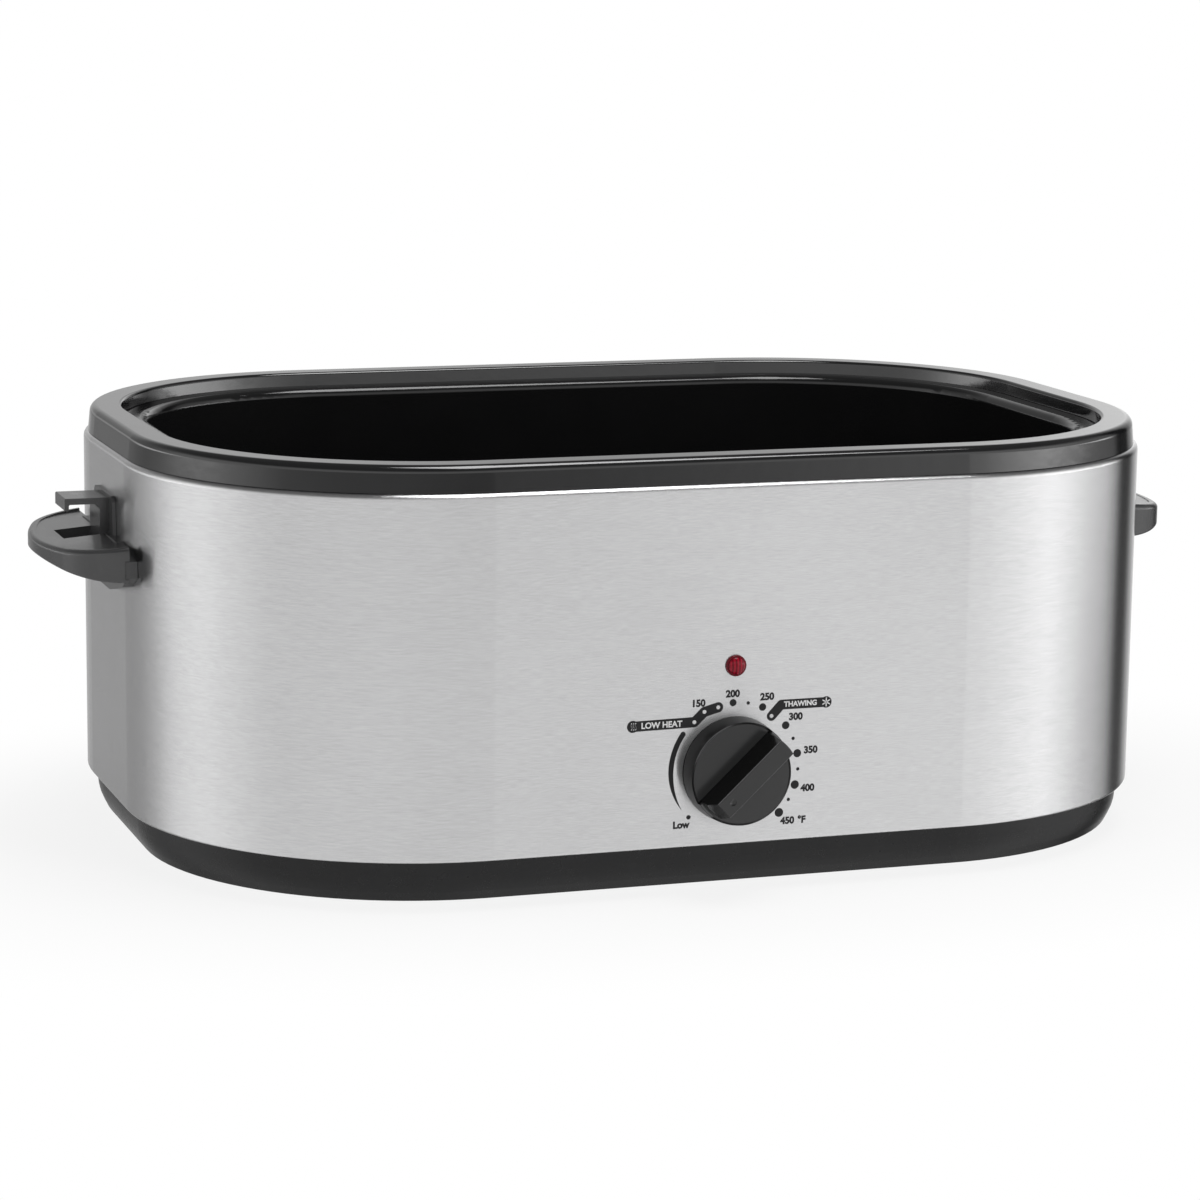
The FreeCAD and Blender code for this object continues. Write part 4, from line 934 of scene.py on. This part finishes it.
    def numbers(self) -> None:
        """The temperatures beside their dots."""
        labels = []
        for degrees in range(150, 451, 50):
            angle = self.heat(degrees)
            sideways = abs(math.sin(math.radians(angle)))
            radius = self.ring + self.number_gap + self.number_side_gap * sideways
            labels.append((str(degrees), self.spot(angle, radius)))
        x, z = labels[-1][1]
        labels.append(("°F", (x + self.unit_gap, z)))
        labels.append(("Low", self.spot(self.at_lowest, self.ring + self.lowest_gap)))
        self.words("dial_numbers", labels, DARK_INK, self.lettering, self.stroke)

    def swell(self) -> None:
        """The tapering arc from the lowest setting up to the first pill."""
        bm = bmesh.new()
        sweep = self.swell_to - self.swell_from
        edge = [bm.verts.new((0, self.swell_radius + side * 0.5 * MM, 0)) for side in (-1, 1)]
        bm.edges.new(edge)
        start = Matrix.Rotation(-math.radians(self.swell_from), 3, "Z")
        bmesh.ops.rotate(bm, verts=edge, matrix=start)
        bmesh.ops.spin(
            bm, geom=list(bm.verts) + list(bm.edges), cent=(0, 0, 0), axis=(0, 0, 1),
            angle=-math.radians(sweep), steps=self.swell_steps,
        )
        for vert in bm.verts:
            angle = math.degrees(math.atan2(vert.co.x, vert.co.y)) % 360
            share = min(1.0, (angle - self.swell_from) / sweep / self.swell_full_at)
            growth = (1 - self.swell_tip) * math.sin(share * math.pi / 2)
            width = self.swell_width * (self.swell_tip + growth)
            side = 1 if vert.co.length > self.swell_radius else -1
            vert.co = vert.co.normalized() * (self.swell_radius + side * width / 2)
        bmesh.ops.translate(bm, verts=bm.verts, vec=(*self.from_middle((0, 0)), 0))
        bmesh.ops.solidify(bm, geom=list(bm.faces), thickness=self.thickness)
        bmesh.ops.translate(bm, verts=bm.verts, vec=(0, 0, -self.thickness / 2))
        self.disc(bm, self.spot(self.swell_to, self.swell_radius), self.swell_width / 2, 1)
        self.ink("dial_swell", bm, DARK_INK)

    def pill(self, pill: Pill, bends: list[Spot], windows: list[Spot]) -> None:
        """Print a pill, its pale dots and its word.

        Args:
            pill: The pill.
            bends: The middle line's points after the head.
            windows: The pale dots' places.
        """
        corners = [self.from_middle(pill.head), *bends]
        bm = bmesh.new()
        for step, (start, end) in enumerate(zip(corners, corners[1:])):
            self.bar(bm, start, end, pill.width, step)
        self.disc(bm, corners[0], self.head_share * pill.width, len(corners))
        self.ink(pill.name + "_pill", bm, DARK_INK)
        bm = bmesh.new()
        for spot in windows:
            self.disc(bm, spot, self.pale_dot)
        self.ink(pill.name + "_pill_dots", bm, PALE_INK, Coat.SECOND)
        (x, z), (bend_x, _) = corners[:2]
        label = (pill.word, ((x + bend_x) / 2 + pill.shift, z))
        self.words(pill.name + "_word", [label], PALE_INK, pill.lettering, pill.stroke,
                   Coat.SECOND)

    def low_settings(self) -> None:
        """The pill of the low settings."""
        bend, middle, tip = (self.heat(degrees) for degrees in self.warming_heats)
        bends = [
            self.spot(bend, self.ring - self.inset),
            self.spot(middle, self.ring + self.warming_bulge),
            self.spot(tip, self.ring - self.inset),
        ]
        self.pill(self.warming, bends, bends)

    def steam(self) -> None:
        """Three rising waves in the head of the low settings' pill."""
        bm = bmesh.new()
        x, z = self.from_middle(self.warming.head)
        for index in (-1, 0, 1):
            points = []
            for step in range(self.steam_steps + 1):
                share = step / self.steam_steps
                sway = self.steam_sway * math.sin(share * math.tau)
                wave_x = x + self.steam_shift + index * self.steam_pitch + sway
                points.append((wave_x, z + (share - 0.5) * self.steam_height))
            for start, end in zip(points, points[1:]):
                self.bar(bm, start, end, self.steam_stroke)
        self.ink("steam_marks", bm, PALE_INK, Coat.SECOND)

    def thaw_setting(self) -> None:
        """The pill of the thawing setting."""
        foot = self.spot(self.heat(self.thawing_heat), self.ring - self.thawing_inset)
        self.pill(self.thawing, [self.from_middle(self.thawing_bend), foot], [foot])

    def snow(self) -> None:
        """A plain crystal of three crossed bars in the head of the thawing pill."""
        bm = bmesh.new()
        heart = Vector(self.from_middle(self.thawing.head))
        for index in range(3):
            angle = math.radians(60 * index)
            arm = Vector((math.sin(angle), math.cos(angle))) * self.snow_arm
            self.bar(bm, tuple(heart - arm), tuple(heart + arm), self.snow_stroke)
        self.ink("snow_crystal", bm, PALE_INK, Coat.SECOND)

    def build(self) -> None:
        """Print the whole dial."""
        self.dots()
        self.numbers()
        self.swell()
        self.low_settings()
        self.steam()
        self.thaw_setting()
        self.snow()


# ---- lamp lens
@dataclass
class LampJewel:
    """The red lens over the lamp, turned to its real profile."""

    flange: float = 5.1 * MM
    lip: float = 0.8 * MM
    inner: float = 4.2 * MM
    dome: float = 2.2 * MM
    chamfer: float = 0.15 * MM
    shoulder: float = 0.25 * MM
    groove: float = 0.1 * MM
    groove_rise: float = 0.3 * MM
    dome_foot: float = 0.2 * MM
    sunk: float = 0.1 * MM
    steps: int = 72
    dome_steps: int = 8
    crown_merge: float = 1e-6
    sharpest: float = 50.0

    def profile(self) -> list[Spot]:
        """The half section from the back of the flange to the crown.

        Returns:
            Pairs of radius and height above the shell.
        """
        points = [
            (self.flange - self.chamfer, 0.0),
            (self.flange, self.chamfer),
            (self.flange, self.lip),
            (self.flange - self.shoulder, self.lip + self.shoulder),
            (self.inner + self.groove, self.lip + self.groove_rise),
        ]
        for step in range(self.dome_steps + 1):
            angle = step / self.dome_steps * math.pi / 2
            rise = self.dome_foot + (self.dome - self.shoulder) * math.sin(angle)
            points.append((self.inner * math.cos(angle), self.lip + rise))
        return points

    def build(self) -> None:
        """Turn the lens and stand it on the shell."""
        low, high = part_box("indicator_lens")
        x, z = (low.x + high.x) / 2, (low.z + high.z) / 2
        bm = bmesh.new()
        verts = [bm.verts.new((radius, 0, height)) for radius, height in self.profile()]
        for first, second in zip(verts, verts[1:]):
            bm.edges.new((first, second))
        bmesh.ops.spin(
            bm, geom=list(bm.verts) + list(bm.edges), cent=(0, 0, 0), axis=(0, 0, 1),
            angle=math.tau, steps=self.steps, use_merge=True,
        )
        bmesh.ops.remove_doubles(bm, verts=bm.verts, dist=self.crown_merge)
        rim = [edge for edge in bm.edges if edge.is_boundary]
        bmesh.ops.holes_fill(bm, edges=rim, sides=0)
        mesh = to_mesh("lamp_jewel", bm)
        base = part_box("outer_shell")[0].y
        mesh.transform(upright(x, base - self.sunk, z))
        smooth(mesh, self.sharpest)
        ruby = RubyPlastic("lens_red", LENS_RED, centre=(x, z), radius=self.inner)
        piece = start_piece("lamp_jewel", mesh, ruby, "base")
        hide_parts("indicator_lens")


# ---- shell trim
@dataclass
class RearSeam:
    """The lock seam where the shell's two ends meet at the back."""

    x: float = 92 * MM
    width: float = 9 * MM
    rise: float = 0.9 * MM
    margin: float = 5 * MM
    rounding: float = 0.42
    segments: int = 4

    def build(self) -> None:
        """Press the folded strip on to the rear wall."""
        low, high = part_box("outer_shell")
        bottom, top = low.z + self.margin, high.z - self.margin
        bm = bmesh.new()
        size = Matrix.Diagonal((self.width, self.rise, top - bottom, 1.0))
        middle = Matrix.Translation((self.x, high.y, (top + bottom) / 2))
        bmesh.ops.create_cube(bm, size=1.0, matrix=middle @ size)
        outer = []
        for edge in bm.edges:
            start, end = (vert.co for vert in edge.verts)
            if abs(start.z - end.z) > self.width and start.y > high.y:
                outer.append(edge)
        bmesh.ops.bevel(bm, geom=outer, offset=self.rounding * self.rise, affect="EDGES",
                        segments=self.segments, profile=0.5, material=-1)
        mesh = to_mesh("rear_seam", bm)
        smooth(mesh)
        start_piece("rear_seam", mesh, SHELL_STEEL, "base")


# ---- carried-over nodes
class Carcass:
    """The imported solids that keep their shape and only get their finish."""

    def build(self) -> None:
        """Give every node its finish, by its own name first and then by its slot."""
        slots = {row["node"]: row["material_slot"] for row in frame["record"]["subparts"]}
        for name, node in frame["nodes"].items():
            finish = NODE_FINISHES.get(name) or SLOT_FINISHES[slots[name]]
            if not node.data.materials:
                node.data.materials.append(None)
            for place in node.material_slots:
                place.material = finish.material()
            LOG.info("%s wears %s", name, finish.name)


# ---- studio
@dataclass
class Studio:
    """Pale floor, soft light and the camera.

    The walls stand all round the oven and the screens are a narrow band on them at its own
    height. Both give brightness by direction, in degrees from the front and rising towards
    the right. Their edges are sines of the angle above the table.
    """

    walls: tuple[Spot, ...] = (
        (-180, 0.50), (-162, 0.31), (-145, 0.35), (-134, 0.53), (-122, 0.88), (-105, 1.08),
        (-92, 1.02), (-76, 0.92), (-60, 0.93), (-45, 0.95), (-25, 0.95), (3, 0.90), (17, 0.90),
        (19, 0.96), (27, 1.08), (45, 1.15), (64, 1.27), (75, 1.05), (88, 0.70), (104, 0.44),
        (110, 0.32), (115, 0.01), (127, 0.01), (132, 0.32), (141, 0.62), (152, 1.30),
        (157, 0.70), (161, 0.52), (166, 0.72), (180, 0.56),
    )
    screens: tuple[Spot, ...] = (
        (-180, 0.52), (-162, 0.70), (-145, 1.80), (-134, 2.50), (-122, 2.90), (-112, 2.70),
        (-100, 2.00), (-92, 1.40), (-80, 1.00), (-66, 0.56), (-51, 0.46), (-40, 0.42),
        (12, 0.30), (19, 0.46), (25, 1.00), (45, 2.40), (62, 3.70), (75, 3.70), (90, 3.60),
        (100, 3.40), (107, 1.60), (111, 0.32), (115, 0.01), (127, 0.01), (132, 0.32),
        (141, 0.62), (152, 1.20), (161, 0.52), (180, 0.56),
    )
    screen_bottom: Spot = (-0.05, 0.01)
    screen_top: Spot = (0.11, 0.05)
    ceiling_edge: Spot = (0.30, 0.62)
    ceiling: float = 0.14
    brightest: float = 3.7

    lamp_place: Point = (0.25, -0.35, 1.9)
    lamp_aim: Point = (0.0, 0.0, 0.1)
    lamp_size: float = 0.9
    lamp_watts: float = 18.0

    floor_size: float = 30.0
    floor_cuts: int = 8
    floor_colour: Colour = (0.80, 0.80, 0.80)
    floor_white: float = 0.86
    floor_clear: float = 0.9
    shadow_reach: Spot = (0.16, 0.34)
    shadow_squash: float = 0.42

    azimuth: float = -18.963
    elevation: float = 10.518
    roll: float = 0.721
    distance: float = 1.9640
    lens: float = 113.763
    sensor: float = 36.0
    sight: Spot = (0.05, 60.0)
    target: Point = (-4.538 * MM, 11.75 * MM, 109.539 * MM)

    def camera(self) -> None:
        """Set the camera up."""
        turn, rise, roll = (math.radians(a) for a in (self.azimuth, self.elevation, self.roll))
        back = Vector((
            math.sin(turn) * math.cos(rise), -math.cos(turn) * math.cos(rise), math.sin(rise),
        ))
        right = (-back).cross(Vector((0, 0, 1))).normalized()
        up = right.cross(-back)
        tilted_right = right * math.cos(roll) + up * math.sin(roll)
        tilted_up = up * math.cos(roll) - right * math.sin(roll)
        data = bpy.data.cameras.new("camera")
        data.lens = self.lens
        data.sensor_width = self.sensor
        data.clip_start, data.clip_end = self.sight
        place = Matrix((tilted_right, tilted_up, back)).transposed().to_4x4()
        place.translation = Vector(self.target) + back * self.distance
        eye = to_scene("camera", data)
        eye.matrix_world = place
        bpy.context.scene.camera = eye

    def floor(self) -> None:
        """Lay the floor: white to the camera but for the oven's shadow, and clear to mirrors.

        A mirrored ray passes through to the world, whose walls go on below the table, so
        that the steel and the enamel show the studio and not a floor without an end.
        """
        bm = bmesh.new()
        bmesh.ops.create_grid(
            bm, x_segments=self.floor_cuts, y_segments=self.floor_cuts, size=self.floor_size / 2,
        )
        mesh = to_mesh("floor", bm)
        made = bpy.data.materials.new("floor")
        graph = Graph(made)
        x, y, _ = graph.axes()
        away = (x * x * self.shadow_squash + y * y) ** 0.5
        pale = tuple(1.02 * channel for channel in self.floor_colour)
        paper = graph.surface({
            "Base Color": graph.blend(graph.noise(graph.place(), 6.0), self.floor_colour, pale),
            "Roughness": 0.9,
            "Specular IOR Level": 0.1,
        })
        white = graph.add("ShaderNodeEmission", sockets={"Color": WHITE})
        clear = graph.add("ShaderNodeBsdfTransparent")
        seen = graph.add("ShaderNodeLightPath", output="Is Camera Ray")
        mirrored = graph.add("ShaderNodeLightPath", output="Is Glossy Ray")
        beyond = away.ramp(*self.shadow_reach) * (1 - self.floor_white)
        plain = seen * (self.floor_white + beyond)
        under = graph.share_out(plain, paper, white)
        graph.finish(graph.share_out(mirrored * self.floor_clear, under, clear))
        mesh.materials.append(made)
        floor = to_scene("floor", mesh)

    def around(self, graph: Graph, share: Value, levels: tuple[Spot, ...]) -> Value:
        """The grey of a wall or a screen in a direction, which is a share of the whole turn."""
        stops = [(angle / 360 + 0.5, level / self.brightest) for angle, level in levels]
        return graph.add("ShaderNodeValToRGB", {"stops": stops}, {"Fac": share})

    def world(self) -> None:
        """Surround the oven with soft walls of light, brighter at the two front corners."""
        world = bpy.data.worlds.new("studio")
        bpy.context.scene.world = world
        graph = Graph(world)
        x, y, z = graph.axes("Generated")
        share = x.turn_from(y * -1.0) / math.tau + 0.5
        walls, screens = (self.around(graph, share, row) for row in (self.walls, self.screens))
        band = z.ramp(*self.screen_bottom) * z.ramp(*self.screen_top)
        overhead = (self.ceiling / self.brightest,) * 3
        grey = graph.blend(z.ramp(*self.ceiling_edge), graph.blend(band, walls, screens), overhead)
        light, white = (
            graph.add("ShaderNodeBackground", sockets={"Color": colour, "Strength": strength})
            for colour, strength in ((grey, self.brightest), (WHITE, 1.0))
        )
        seen = graph.add("ShaderNodeLightPath", output="Is Camera Ray")
        graph.finish(graph.share_out(seen, light, white), "ShaderNodeOutputWorld")

    def lamp(self) -> None:
        """Hang one square soft light over the oven."""
        data = bpy.data.lights.new("overhead", "AREA")
        data.size = self.lamp_size
        data.energy = self.lamp_watts
        light = to_scene("overhead", data)
        light.location = self.lamp_place
        beam = Vector(self.lamp_aim) - Vector(self.lamp_place)
        light.rotation_euler = beam.to_track_quat("-Z", "Y").to_euler()

    def build(self) -> None:
        """Set up the whole studio."""
        self.camera()
        self.floor()
        self.world()
        self.lamp()
        bpy.context.scene.view_settings.view_transform = "Standard"


def main() -> None:
    """Build the oven's looks piece by piece."""
    logging.basicConfig(level=logging.INFO, format="%(name)s: %(message)s")
    for part in (Studio(), Carcass(), DialPrint(), LampJewel(), RearSeam()):
        part.build()


if __name__ == "__main__":
    main()
